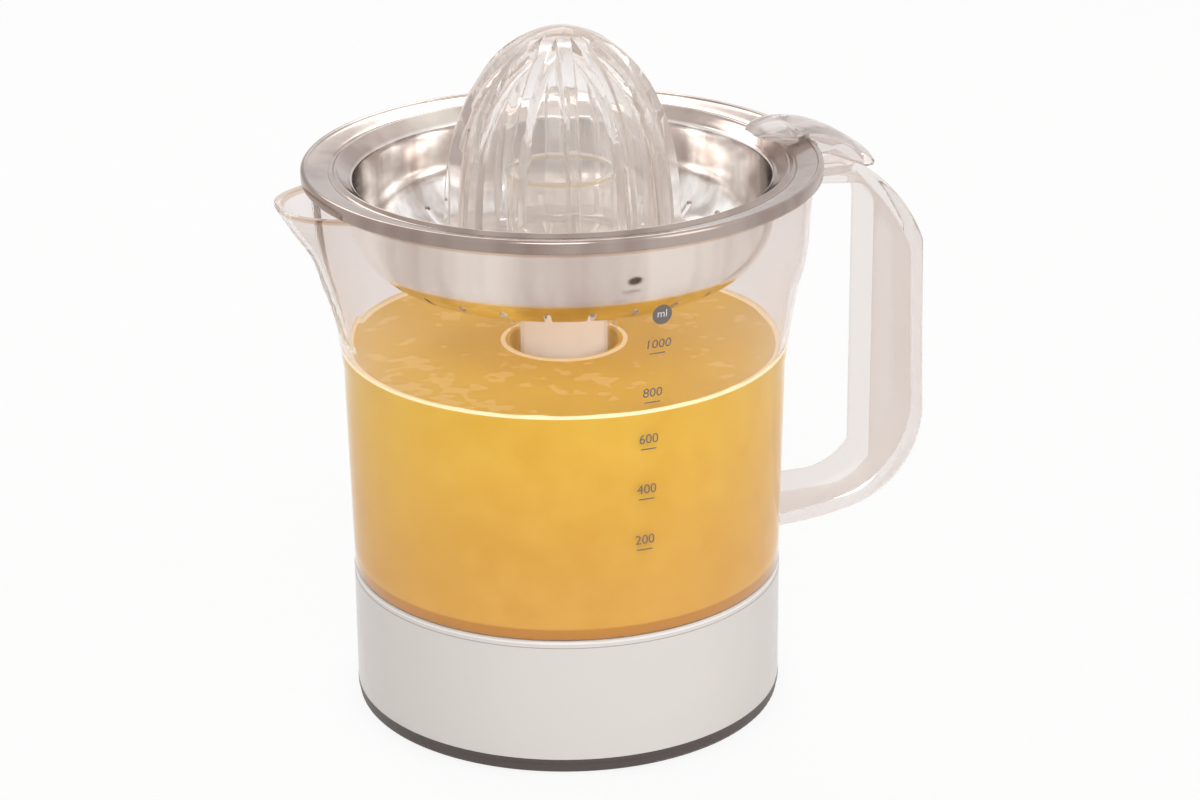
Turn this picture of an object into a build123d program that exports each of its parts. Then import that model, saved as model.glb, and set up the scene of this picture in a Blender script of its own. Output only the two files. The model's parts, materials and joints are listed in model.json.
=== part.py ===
from build123d import *
import math
import os

# Citrus press juicer: a motor base, a clear jug that stands over the motor dome, a steel
# strainer bowl on the jug's rim, and a finned cone on a drive shaft through the middle.
#
# Frame: millimetres, +Z up along the drive axis, z = 0 is the surface it stands on,
# +X points at the handle, -X at the pouring spout and +Y at the cord outlet.

os.makedirs("parts", exist_ok=True)

# ---------------------------------------------------------------- driving dimensions
running = 0.05            # radial clearance of a shaft in its bush
slip = 0.2                # clearance between rigid pieces that are fitted once
loose = 0.6               # clearance between pieces that are lifted off by hand

# motor base
base_radius = 67.7
base_wall = 2.5
cover_inset = 0.4         # the cover's skirt stands this far inside the housing's side
cover_plate = 2.4
cover_rib = 2.0
cover_edge_radius = 1.2
vent_count = 12
vent_length = 14.0
vent_width = 3.0
foot_height = 2.4
foot_inner_radius = 58.0
foot_outer_radius = 62.6
skirt_gap = 0.6           # the cover's skirt stands this far above the table
housing_bottom = 4.4
deck_height = 45.0
dome_radius = 44.0
dome_height = 66.8
case_screw_circle_radius = 52.0
case_screw_radius = 1.5
case_boss_radius = 4.2
case_post_height = 4.0
case_screw_length = 15.0
screw_head_height = 2.4
screw_cross_width = 0.8
screw_cross_depth = 1.2
cord_outlet_radius = 3.2
gland_wall = 2.0
gland_flange = 3.4
gland_flange_thickness = 2.2
gland_overhang = 1.2
cord_outlet_height = 15.0

# motor and gear train
motor_radius = 29.0
cradle_radius = 23.0
motor_bottom = 13.0
motor_top = 37.0
can_wall = 1.0
motor_bearing_height = 3.0
winding_depth = 3.0
bobbin_flange = 2.0
motor_screw_reach = 3.0   # how far the motor screws go into their bosses
rotor_radius = 11.0
rotor_shaft_radius = 1.5
gear_plate_thickness = 2.0
gear_plate_radius = 33.0
pillar_radius = 2.6
motor_bolt_circle_radius = 50.0
gear_module = 0.8
pinion_teeth = 14
wheel_teeth = 42
pressure_angle = 25.0
tooth_backlash = 0.14
wheel_thickness = 4.2
gear_gap = 0.8            # axial gap between neighbouring gears and plates
idler_pin_radius = 1.6
gear_cover_thickness = 2.0
gear_cover_radius = 32.0
hub_radius = 9.0
hub_wall = 1.8
hub_rise = 0.6            # the output hub stands this far proud of the gear cover

# press-to-start spindle
press_travel = 2.5
hex_width = 8.0
hex_chamfer = 1.0
seal_lip = 1.4
spindle_radius = 5.0
collar_radius = 13.4
collar_thickness = 1.6
spring_wire = 0.9
spring_turns = 4
spring_seat_depth = 4.0
spring_room = 3.6         # hub top to collar at rest
bush_flange_radius = 9.4
bush_barrel_radius = 7.6
bush_top = 68.6
seal_radius = 8.4
seal_height = 1.8
hex_head_bottom = 73.0
hex_head_top = 90.0
switch_offset = 11.9      # plunger centre from the drive axis
plunger_radius = 1.1
switch_width = 6.0
switch_length = 12.0
switch_sink = 1.6         # the switch's body goes this far below the gear cover
switch_end = 1.5          # from the plunger's centre to the body's inner end
plunger_length = 3.8

# jug
jug_wall = 2.3
jug_floor = 2.6
jug_foot_inset = 0.2      # the jug's foot stands this far inside the housing's side
jug_draft = 1.4           # the wall leans out by this much from foot to belly
jug_belly_height = 112.0
jug_rim_radius = 77.0
jug_rim_height = 172.0
jug_dome_gap = 1.0
chimney_outer_radius = 17.5
chimney_bore_radius = 14.2
chimney_drop = 4.5        # the chimney ends this far below the bowl's floor
spout_reach = 91.5
spout_lip_radius = 20.0
spout_depth = 46.0        # the spout starts this far below the rim
handle_room = 25.7        # room for fingers, from the jug's rim to the grip
handle_grip = 18.4        # depth of the grip
handle_top_drop = 6.6     # the handle starts this far below the jug's rim
handle_foot_rise = 1.0    # and ends this far above the jug's foot
handle_shoulder_inset = 6.0
handle_arm = 11.0
handle_width = 20.0
handle_outer_wall = 3.2
handle_side_wall = 2.6
handle_web = 2.2

# strainer
sheet = 0.9
strainer_overhang = 3.0   # the bead reaches this far outside the jug's rim
strainer_rim_height = 3.4
strainer_bead_width = 5.9
strainer_shelf_rise = 0.6
strainer_shelf_width = 9.1
bowl_depth = 31.0         # from the jug's rim down to the underside of the bowl's floor
bowl_taper = 16.0         # the bowl's floor is this much smaller in radius than its wall
bowl_bend_height = 21.0
slot_count = 28
slot_width = 2.2
slot_reach = 5.0          # the slots run this far into the bend of the floor
slot_margin = 2.0
collar_bore_radius = 15.3
collar_wall = 2.0
collar_height = 32.5
hub_ring_radius = 24.0
hub_ring_thickness = 1.3
tab_width = 24.0
tab_wall = 2.2
tab_inward = 17.3         # the tab's tip reaches this far inside the rim
tab_overhang = 8.3        # and its end this far past the handle's shoulder
tab_rise = 6.4
tab_tip_drop = 4.6
tab_cheek_inner = 11.0    # the cheeks start this far inside the rim
tab_clearance = 0.3       # the cheeks and the floor stand this far off the rim
tab_floor = 1.2           # plate of the tab that the rivets go through
tab_middle_drop = 3.2
tab_end_drop = 15.6
rivet_radius = 1.6
rivet_shank_radius = 1.1
rivet_head_height = 0.9
rivet_depth = 1.8
rivet_spacing = 12.0

# drive shaft and cone
sleeve_wall = 1.6
shaft_flange_gap = 3.2    # flange to chimney top, more than the press travel
shaft_flange_thickness = 2.0
shaft_radius = 5.2
shaft_end_gap = 20.0      # the shaft ends this far below the cone's tip
cone_hex_width = 8.6
cone_hex_rise = 30.5      # the cone's hexagonal socket starts this far above its skirt
cone_height = 71.5
cone_base_radius = 36.9
cone_skirt_radius = 43.0
cone_skirt_rise = 5.5     # the skirt stands this far above the underside of the bowl's floor
cone_egg_drop = 8.0       # the dome's egg shape would be widest this far below the skirt
cone_skirt_thickness = 2.0
cone_wall = 2.2
cone_socket_wall = 2.4
fin_count = 12
fin_height = 4.8
fin_phase = 15.0          # degrees from the handle to the first fin
fin_tip_width = 2.6
fin_taper = 0.03          # half-width gained per millimetre towards the axis

# ---------------------------------------------------------------- derived places
base_inner = base_radius - base_wall
deck_underside = deck_height - base_wall
dome_inner = dome_radius - base_wall
dome_ceiling = dome_height - base_wall
cover_radius = base_radius - cover_inset
cover_top = foot_height + cover_plate
motor_boss_bottom = motor_top + gear_plate_thickness
coil_bottom = motor_bottom + motor_bearing_height
coil_top = motor_top - can_wall

pinion_pitch = gear_module * pinion_teeth / 2
wheel_pitch = gear_module * wheel_teeth / 2
gear_centres = pinion_pitch + wheel_pitch
idler_wheel_bottom = motor_top + gear_plate_thickness + gear_gap
idler_wheel_top = idler_wheel_bottom + wheel_thickness
output_bottom = idler_wheel_top + 2 * gear_gap
output_top = output_bottom + wheel_thickness
gear_cover_bottom = output_top + 3 * gear_gap
gear_cover_top = gear_cover_bottom + gear_cover_thickness
hub_top = gear_cover_top + hub_rise
spring_seat = hub_top - spring_seat_depth
collar_bottom = hub_top + spring_room
collar_top_face = collar_bottom + collar_thickness
spindle_bottom = idler_wheel_top + press_travel + slip
switch_bottom = gear_cover_bottom - switch_sink
switch_top = collar_bottom - press_travel - slip
switch_middle = switch_offset - switch_end + switch_length / 2
bush_flange_bottom = collar_top_face + slip
seal_top = bush_top + seal_height

bowl_floor = jug_rim_height - bowl_depth
chimney_top = bowl_floor - chimney_drop
spout_root_height = jug_rim_height - spout_depth
jug_foot_radius = base_radius - jug_foot_inset
jug_belly_radius = jug_foot_radius + jug_draft
jug_dome_bore = dome_radius + jug_dome_gap
jug_dome_underside = dome_height + jug_dome_gap
jug_dome_top = jug_dome_underside + jug_floor
jug_dome_outer = jug_dome_bore + jug_wall
handle_inner = jug_rim_radius + handle_room
handle_reach = handle_inner + handle_grip
handle_top = jug_rim_height - handle_top_drop
handle_bottom = deck_height + handle_foot_rise
handle_shoulder = handle_inner - handle_shoulder_inset

collar_top = bowl_floor + collar_height
cone_skirt_bottom = bowl_floor + cone_skirt_rise
cone_egg_base = cone_skirt_bottom - cone_egg_drop
cone_hex_bottom = cone_skirt_bottom + cone_hex_rise
cone_top = cone_skirt_bottom + cone_height
shaft_top = cone_top - shaft_end_gap

sleeve_radius = chimney_bore_radius - loose
sleeve_inner = sleeve_radius - sleeve_wall
sleeve_bottom = seal_top + slip
socket_bottom = seal_top + press_travel + loose
shaft_flange_bottom = chimney_top + shaft_flange_gap
shaft_flange_top = shaft_flange_bottom + shaft_flange_thickness
shaft_flange_radius = collar_bore_radius - 0.3
collar_radius_outer = collar_bore_radius + collar_wall
rim_top = jug_rim_height + strainer_rim_height
strainer_rim_radius = jug_rim_radius + strainer_overhang
strainer_bead_inner = strainer_rim_radius - strainer_bead_width
bowl_radius = strainer_bead_inner - strainer_shelf_width
shelf_top = jug_rim_height + strainer_shelf_rise
bowl_floor_radius = bowl_radius - bowl_taper
slot_outer_radius = bowl_floor_radius + slot_reach
slot_inner_radius = hub_ring_radius + slot_margin
tab_tip_radius = strainer_rim_radius - tab_inward
tab_end_radius = handle_shoulder + tab_overhang
tab_length = tab_end_radius - tab_tip_radius
tab_crest = rim_top + tab_rise
tab_crest_radius = tab_tip_radius + 0.25 * tab_length
tab_fall_radius = tab_tip_radius + 0.5 * tab_length
tab_middle = strainer_rim_radius - strainer_bead_width / 2
tab_seat = rim_top + tab_clearance
bowl_floor_top = bowl_floor + sheet


# ---------------------------------------------------------------- shared outlines
def involute_point(base_r, roll):
    """Point of a circle's involute after the line has rolled through an angle in radians."""
    x = base_r * (math.cos(roll) + roll * math.sin(roll))
    y = base_r * (math.sin(roll) - roll * math.cos(roll))
    return math.hypot(x, y), math.atan2(y, x)


def gear_points(teeth, first_angle):
    """Outline of an involute spur gear with one tooth centred on first_angle (degrees)."""
    pitch_r = gear_module * teeth / 2
    base_r = pitch_r * math.cos(math.radians(pressure_angle))
    tip_r = pitch_r + gear_module
    root_r = pitch_r - 1.25 * gear_module
    pitch_roll = math.tan(math.radians(pressure_angle))
    tip_roll = math.sqrt((tip_r / base_r) ** 2 - 1)
    start_roll = math.sqrt(max((root_r / base_r) ** 2 - 1, 0))
    half_tooth = math.pi / teeth / 2 - tooth_backlash / 2 / pitch_r
    pitch_angle = involute_point(base_r, pitch_roll)[1]
    flank = []
    for roll in (start_roll, (start_roll + pitch_roll) / 2, pitch_roll, tip_roll):
        r, turn = involute_point(base_r, roll)
        flank.append((r, half_tooth + pitch_angle - turn))
    if root_r < base_r:
        flank.insert(0, (root_r, flank[0][1]))
    outline = []
    for tooth in range(teeth):
        centre = math.radians(first_angle) + 2 * math.pi * tooth / teeth
        for r, half in flank:
            outline.append((r * math.cos(centre - half), r * math.sin(centre - half)))
        for r, half in reversed(flank):
            outline.append((r * math.cos(centre + half), r * math.sin(centre + half)))
    return outline


def jug_side(inset):
    """The jug's wall from foot to rim: a slight draft, then an S-shaped flare. It adds the
    curve to the line that is open and returns its two ends."""
    foot = (jug_foot_radius - inset, deck_height)
    belly = (jug_belly_radius - inset, jug_belly_height)
    flare_height = jug_rim_height - jug_belly_height
    flare_width = jug_rim_radius - jug_belly_radius
    middle = (belly[0] + 0.42 * flare_width, belly[1] + 0.38 * flare_height)
    shoulder = (belly[0] + 0.82 * flare_width, belly[1] + 0.62 * flare_height)
    rim = (jug_rim_radius - inset, jug_rim_height)
    Line(foot, belly)
    Spline(belly, middle, shoulder, rim, tangents=((0.03, 1), (0.06, 1)))
    return foot, rim


def spout_sections(inset):
    """The pouring spout's sections: circles that grow and lean outwards towards the lip."""
    rise = jug_rim_height - spout_root_height
    tuck = spout_reach - jug_belly_radius
    sections = []
    for height, reach, size in (
        (0.0, 0.0, 0.62),
        (0.33, 0.26, 0.68),
        (0.60, 0.49, 0.76),
        (0.80, 0.76, 0.86),
        (1.0, 1.0, 1.0),
    ):
        radius = spout_lip_radius * size
        centre = jug_belly_radius + reach * tuck - radius
        with BuildSketch(Plane.XY.offset(spout_root_height + rise * height)) as section:
            with Locations((-centre, 0)):
                Circle(radius - inset)
        sections.append(section.sketch.face())
    return sections


def handle_outline(inset):
    """Outer edge of the handle in side view, from the jug's top to its foot."""
    top = handle_top - inset
    reach = handle_reach - inset
    bottom = handle_bottom + inset
    root = jug_foot_radius - jug_wall / 2
    shoulder = (handle_shoulder, top)
    upper = (reach - 1.2, top - 28.0)
    lower = (reach, bottom + 38.0)
    heel = (reach - 26.0, bottom + 2.4)
    Line((root, top), shoulder)
    ThreePointArc(shoulder, (reach - 9.9, top - 12.6), upper)
    Line(upper, lower)
    ThreePointArc(lower, (reach - 6.3, bottom + 14.2), heel)
    ThreePointArc(heel, (reach - 40.5, bottom + 0.3), (root, bottom))
    return (root, bottom), (root, top)


def cone_radius(height, inset):
    """Radius of the cone's dome at a height: an egg-shaped curve that closes at the top."""
    rise = (height - cone_egg_base) / (cone_top - inset - cone_egg_base)
    rise = min(max(rise, 0.0), 1.0)
    return (cone_base_radius - inset) * (1 - rise**3.3) ** (1 / 1.75)


def cone_dome(inset):
    """Half the dome's outline, from its base to the tip and back down the axis. It adds the
    curve to the line that is open."""
    top = cone_top - inset
    rise = top - cone_skirt_bottom
    side = []
    for share in (0, 0.3, 0.5, 0.66, 0.8, 0.9, 0.96, 0.99):
        height = cone_skirt_bottom + rise * share
        side.append((cone_radius(height, inset), height))
    Spline(*side, (0, top), tangents=((0, 1), (-1, 0)))
    Polyline((0, top), (0, cone_skirt_bottom), side[0])


# ---------------------------------------------------------------- motor base
with BuildPart() as base_housing:
    with BuildSketch(Plane.XZ):
        with BuildLine():
            Polyline(
                (0, dome_height),
                (dome_radius, dome_height),
                (dome_radius, deck_height),
                (base_radius, deck_height),
                (base_radius, housing_bottom),
                (base_inner, housing_bottom),
                (base_inner, deck_underside),
                (dome_inner, deck_underside),
                (dome_inner, dome_ceiling),
                (0, dome_ceiling),
                close=True,
            )
        make_face()
    revolve(axis=Axis.Z)
    dome_edge = base_housing.edges().filter_by(GeomType.CIRCLE).group_by(Axis.Z)[-1]
    fillet(dome_edge, base_wall)
    outer_edge = (
        base_housing.edges()
        .filter_by(GeomType.CIRCLE)
        .filter_by(lambda e: abs(e.radius - base_radius) < 0.01)
        .sort_by(Axis.Z)[-1]
    )
    fillet(outer_edge, base_wall / 3)
    # screw bosses under the deck, for the bottom cover and for the motor
    with BuildSketch(Plane.XY.offset(cover_top + case_post_height)):
        with PolarLocations(case_screw_circle_radius, 4, start_angle=45):
            Circle(case_boss_radius)
    extrude(amount=deck_underside - cover_top - case_post_height)
    with BuildSketch(Plane.XY.offset(motor_boss_bottom)):
        with PolarLocations(motor_bolt_circle_radius, 3, start_angle=30):
            Circle(case_boss_radius)
    extrude(amount=deck_underside - motor_boss_bottom)
    with BuildSketch(Plane.XY.offset(cover_top + case_post_height)):
        with PolarLocations(case_screw_circle_radius, 4, start_angle=45):
            Circle(case_screw_radius + running)
    extrude(amount=case_screw_length - 1, mode=Mode.SUBTRACT)
    with BuildSketch(Plane.XY.offset(motor_boss_bottom)):
        with PolarLocations(motor_bolt_circle_radius, 3, start_angle=30):
            Circle(case_screw_radius + running)
    extrude(amount=motor_screw_reach + loose, mode=Mode.SUBTRACT)
    # bush seat in the dome, and the cord outlet at the back
    with BuildSketch(Plane.XY.offset(dome_ceiling)):
        Circle(bush_barrel_radius)
    extrude(amount=base_wall, mode=Mode.SUBTRACT)
    with BuildSketch(Plane.XZ.offset(-base_inner + base_wall)):
        with Locations((0, cord_outlet_height)):
            Circle(cord_outlet_radius + gland_wall)
    extrude(amount=-3 * base_wall, mode=Mode.SUBTRACT)

with BuildPart() as bottom_cover:
    locating_rib = base_inner - slip
    with BuildSketch(Plane.XZ):
        with BuildLine():
            Polyline(
                (0, foot_height),
                (foot_outer_radius + slip, foot_height),
                (foot_outer_radius + slip, skirt_gap),
                (cover_radius, skirt_gap),
                (cover_radius, housing_bottom),
                (locating_rib, housing_bottom),
                (locating_rib, cover_top + cover_rib),
                (locating_rib - cover_rib, cover_top + cover_rib),
                (locating_rib - cover_rib, cover_top),
                (0, cover_top),
                close=True,
            )
        make_face()
    revolve(axis=Axis.Z)
    skirt_edge = (
        bottom_cover.edges().filter_by(GeomType.CIRCLE).group_by(Axis.Z)[0].sort_by(SortBy.RADIUS)[-1]
    )
    fillet(skirt_edge, cover_edge_radius)
    # posts that meet the housing's bosses, bored and sunk for the screws
    with BuildSketch(Plane.XY.offset(cover_top)):
        with PolarLocations(case_screw_circle_radius, 4, start_angle=45):
            Circle(case_boss_radius)
    extrude(amount=case_post_height)
    with BuildSketch(Plane.XY.offset(foot_height)):
        with PolarLocations(case_screw_circle_radius, 4, start_angle=45):
            Circle(case_screw_radius + slip)
    extrude(amount=cover_plate + case_post_height, mode=Mode.SUBTRACT)
    with BuildSketch(Plane.XY.offset(foot_height)):
        with PolarLocations(case_screw_circle_radius, 4, start_angle=45):
            Circle(2 * case_screw_radius + slip)
    extrude(amount=screw_head_height, mode=Mode.SUBTRACT)
    # cooling slots below the motor
    with BuildSketch(Plane.XY.offset(foot_height)):
        with PolarLocations(motor_radius + case_post_height, vent_count):
            SlotOverall(vent_length, vent_width)
    extrude(amount=cover_plate, mode=Mode.SUBTRACT)
    # low cradle that the motor can stands in
    with BuildSketch(Plane.XY.offset(cover_top)):
        Circle(cradle_radius)
        Circle(cradle_radius - cover_rib, mode=Mode.SUBTRACT)
    extrude(amount=motor_bottom - cover_top)

with BuildPart() as foot_ring:
    with BuildSketch():
        Circle(foot_outer_radius)
        Circle(foot_inner_radius, mode=Mode.SUBTRACT)
    extrude(amount=foot_height)
    chamfer(foot_ring.edges().group_by(Axis.Z)[0], 0.4)

with BuildPart() as case_screws:
    with BuildSketch(Plane.XY.offset(foot_height)):
        with PolarLocations(case_screw_circle_radius, 4, start_angle=45):
            Circle(2 * case_screw_radius)
    extrude(amount=screw_head_height)
    with BuildSketch(Plane.XY.offset(foot_height + screw_head_height)):
        with PolarLocations(case_screw_circle_radius, 4, start_angle=45):
            Circle(case_screw_radius)
    extrude(amount=case_screw_length)
    with BuildSketch(Plane.XY.offset(foot_height)):
        with PolarLocations(case_screw_circle_radius, 4, start_angle=45):
            Rectangle(2.7 * case_screw_radius, screw_cross_width)
            Rectangle(screw_cross_width, 2.7 * case_screw_radius)
    extrude(amount=screw_cross_depth, mode=Mode.SUBTRACT)

with BuildPart() as cord_gland:
    gland_seat = base_inner - slip - gland_flange_thickness - loose
    with BuildSketch(Plane.XZ.offset(-gland_seat)):
        with Locations((0, cord_outlet_height)):
            Circle(cord_outlet_radius + gland_wall - slip / 2)
            Circle(cord_outlet_radius, mode=Mode.SUBTRACT)
    extrude(amount=-(base_radius - gland_seat + gland_overhang))
    with BuildSketch(Plane.XZ.offset(-gland_seat)):
        with Locations((0, cord_outlet_height)):
            Circle(cord_outlet_radius + gland_flange)
            Circle(cord_outlet_radius, mode=Mode.SUBTRACT)
    extrude(amount=-gland_flange_thickness)

# ---------------------------------------------------------------- motor
with BuildPart() as motor_can:
    with BuildSketch(Plane.XY.offset(motor_bottom)):
        Circle(motor_radius)
    extrude(amount=motor_top - motor_bottom)
    with BuildSketch(Plane.XY.offset(motor_bottom + can_wall)):
        Circle(motor_radius - can_wall)
    extrude(amount=motor_top - motor_bottom, mode=Mode.SUBTRACT)
    with BuildSketch(Plane.XY.offset(motor_bottom)):
        Circle(2.2 * rotor_shaft_radius)
    extrude(amount=motor_bearing_height)
    with BuildSketch(Plane.XY.offset(motor_bottom)):
        Circle(rotor_shaft_radius + running)
    extrude(amount=motor_bearing_height, mode=Mode.SUBTRACT)

with BuildPart() as stator_coil:
    with BuildSketch(Plane.XY.offset(coil_bottom)):
        Circle(motor_radius - can_wall - slip)
        Circle(rotor_radius + loose, mode=Mode.SUBTRACT)
    extrude(amount=coil_top - coil_bottom)
    with BuildSketch(Plane.XY.offset(coil_bottom + bobbin_flange)):
        Circle(motor_radius)
        Circle(motor_radius - winding_depth, mode=Mode.SUBTRACT)
    extrude(amount=coil_top - coil_bottom - 2 * bobbin_flange, mode=Mode.SUBTRACT)

with BuildPart() as rotor:
    with BuildSketch(Plane.XY.offset(coil_bottom + loose)):
        Circle(rotor_radius)
    extrude(amount=coil_top - coil_bottom - 2 * loose)
    with BuildSketch(Plane.XY.offset(motor_bottom)):
        Circle(rotor_shaft_radius)
    extrude(amount=idler_wheel_top - motor_bottom)

with BuildPart() as motor_pinion:
    with BuildSketch(Plane.XY.offset(idler_wheel_bottom - gear_gap / 2)):
        with BuildLine():
            Polyline(*gear_points(pinion_teeth, 90), close=True)
        make_face()
        Circle(rotor_shaft_radius, mode=Mode.SUBTRACT)
    extrude(amount=wheel_thickness + gear_gap / 2)

# ---------------------------------------------------------------- gear train
with BuildPart() as gear_plate:
    with BuildSketch(Plane.XY.offset(motor_top)):
        Circle(gear_plate_radius)
        with PolarLocations(motor_bolt_circle_radius / 2, 3, start_angle=30):
            Rectangle(motor_bolt_circle_radius, 2 * case_boss_radius)
        with PolarLocations(motor_bolt_circle_radius, 3, start_angle=30):
            Circle(case_boss_radius)
        with PolarLocations(motor_bolt_circle_radius, 3, start_angle=30):
            Circle(case_screw_radius + slip, mode=Mode.SUBTRACT)
        Circle(rotor_shaft_radius + running, mode=Mode.SUBTRACT)
    extrude(amount=gear_plate_thickness)
    # pillars that carry the gear cover
    with BuildSketch(Plane.XY.offset(motor_top + gear_plate_thickness)):
        with PolarLocations(gear_cover_radius - pillar_radius, 3, 200, 140, endpoint=True):
            Circle(pillar_radius)
    extrude(amount=gear_cover_bottom - motor_top - gear_plate_thickness)

with BuildPart() as motor_screws:
    with BuildSketch(Plane.XY.offset(motor_top - screw_head_height)):
        with PolarLocations(motor_bolt_circle_radius, 3, start_angle=30):
            Circle(2 * case_screw_radius)
    extrude(amount=screw_head_height)
    with BuildSketch(Plane.XY.offset(motor_top)):
        with PolarLocations(motor_bolt_circle_radius, 3, start_angle=30):
            Circle(case_screw_radius)
    extrude(amount=gear_plate_thickness + motor_screw_reach)

with BuildPart() as idler_pin:
    with BuildSketch(Plane((0, gear_centres, motor_top + gear_plate_thickness))):
        Circle(idler_pin_radius)
    extrude(amount=gear_cover_bottom - motor_top - gear_plate_thickness)

with BuildPart() as idler_gear:
    # the wheel has a gap facing the motor pinion's tooth, the pinion one facing the output gear
    with BuildSketch(Plane((0, gear_centres, idler_wheel_bottom))):
        with BuildLine():
            Polyline(*gear_points(wheel_teeth, -90 + 180 / wheel_teeth), close=True)
        make_face()
    extrude(amount=wheel_thickness)
    with BuildSketch(Plane((0, gear_centres, idler_wheel_top))):
        with BuildLine():
            Polyline(*gear_points(pinion_teeth, -90 + 180 / pinion_teeth), close=True)
        make_face()
    extrude(amount=output_top + gear_gap - idler_wheel_top)
    with BuildSketch(Plane((0, gear_centres, idler_wheel_bottom))):
        Circle(idler_pin_radius + running)
    extrude(amount=output_top + gear_gap - idler_wheel_bottom, mode=Mode.SUBTRACT)

with BuildPart() as output_gear:
    with BuildSketch(Plane.XY.offset(output_bottom)):
        with BuildLine():
            Polyline(*gear_points(wheel_teeth, 90), close=True)
        make_face()
    extrude(amount=wheel_thickness)
    with BuildSketch(Plane.XY.offset(output_top)):
        Circle(hub_radius)
    extrude(amount=hub_top - output_top)
    with BuildSketch(Plane.XY.offset(output_bottom)):
        RegularPolygon(hex_width / 2 + running, 6, major_radius=False)
    extrude(amount=hub_top - output_bottom, mode=Mode.SUBTRACT)
    with BuildSketch(Plane.XY.offset(spring_seat)):
        Circle(hub_radius - hub_wall)
    extrude(amount=spring_seat_depth, mode=Mode.SUBTRACT)

with BuildPart() as gear_cover:
    with BuildSketch(Plane.XY.offset(gear_cover_bottom)):
        Circle(gear_cover_radius)
        Circle(hub_radius + running, mode=Mode.SUBTRACT)
        with Locations((switch_middle, 0)):
            Rectangle(switch_length + 2 * slip, switch_width + 2 * slip, mode=Mode.SUBTRACT)
    extrude(amount=gear_cover_thickness)

with BuildPart() as start_switch:
    with BuildSketch(Plane.XY.offset(switch_bottom)):
        with Locations((switch_middle, 0)):
            Rectangle(switch_length, switch_width)
    extrude(amount=switch_top - switch_bottom)
    with BuildSketch(Plane.XY.offset(collar_bottom - press_travel - plunger_length - slip)):
        with Locations((switch_offset, 0)):
            Circle(plunger_radius + running)
    extrude(amount=2 * plunger_length, mode=Mode.SUBTRACT)

with BuildPart() as switch_plunger:
    with BuildSketch(Plane.XY.offset(collar_bottom - plunger_length)):
        with Locations((switch_offset, 0)):
            Circle(plunger_radius)
    extrude(amount=plunger_length)

# ---------------------------------------------------------------- press-to-start spindle
with BuildPart() as return_spring:
    spring_radius = hub_radius - hub_wall - slip - spring_wire / 2
    spring_length = collar_bottom - spring_seat - spring_wire
    with BuildLine():
        Helix(
            pitch=spring_length / spring_turns,
            height=spring_length,
            radius=spring_radius,
            center=(0, 0, spring_seat + spring_wire / 2),
        )
    with BuildSketch(Plane.XZ):
        with Locations((spring_radius, spring_seat + spring_wire / 2)):
            RegularPolygon(spring_wire / 2, 6)
    sweep(is_frenet=True)

with BuildPart() as spindle:
    with BuildSketch(Plane.XY.offset(spindle_bottom)):
        RegularPolygon(hex_width / 2, 6, major_radius=False)
    extrude(amount=collar_bottom - spindle_bottom)
    with BuildSketch(Plane.XY.offset(collar_bottom)):
        Circle(collar_radius)
    extrude(amount=collar_thickness)
    with BuildSketch(Plane.XY.offset(collar_top_face)):
        Circle(spindle_radius)
    extrude(amount=hex_head_bottom - collar_top_face)
    with BuildSketch(Plane.XY.offset(hex_head_bottom)):
        RegularPolygon(hex_width / 2, 6, major_radius=False)
    extrude(amount=hex_head_top - hex_head_bottom)
    chamfer(spindle.edges().group_by(Axis.Z)[-1], hex_chamfer)

with BuildPart() as spindle_bush:
    with BuildSketch(Plane.XY.offset(bush_flange_bottom)):
        Circle(bush_flange_radius)
    extrude(amount=dome_ceiling - bush_flange_bottom)
    with BuildSketch(Plane.XY.offset(dome_ceiling)):
        Circle(bush_barrel_radius - slip / 4)
    extrude(amount=bush_top - dome_ceiling)
    with BuildSketch(Plane.XY.offset(bush_flange_bottom)):
        Circle(spindle_radius + running)
    extrude(amount=bush_top - bush_flange_bottom, mode=Mode.SUBTRACT)

with BuildPart() as spindle_seal:
    with BuildSketch(Plane.XZ):
        with BuildLine():
            Polyline(
                (spindle_radius + running, bush_top),
                (seal_radius, bush_top),
                (seal_radius, bush_top + seal_height / 3),
                (spindle_radius + seal_lip, seal_top),
                (spindle_radius + running, seal_top),
                close=True,
            )
        make_face()
    revolve(axis=Axis.Z)

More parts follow.
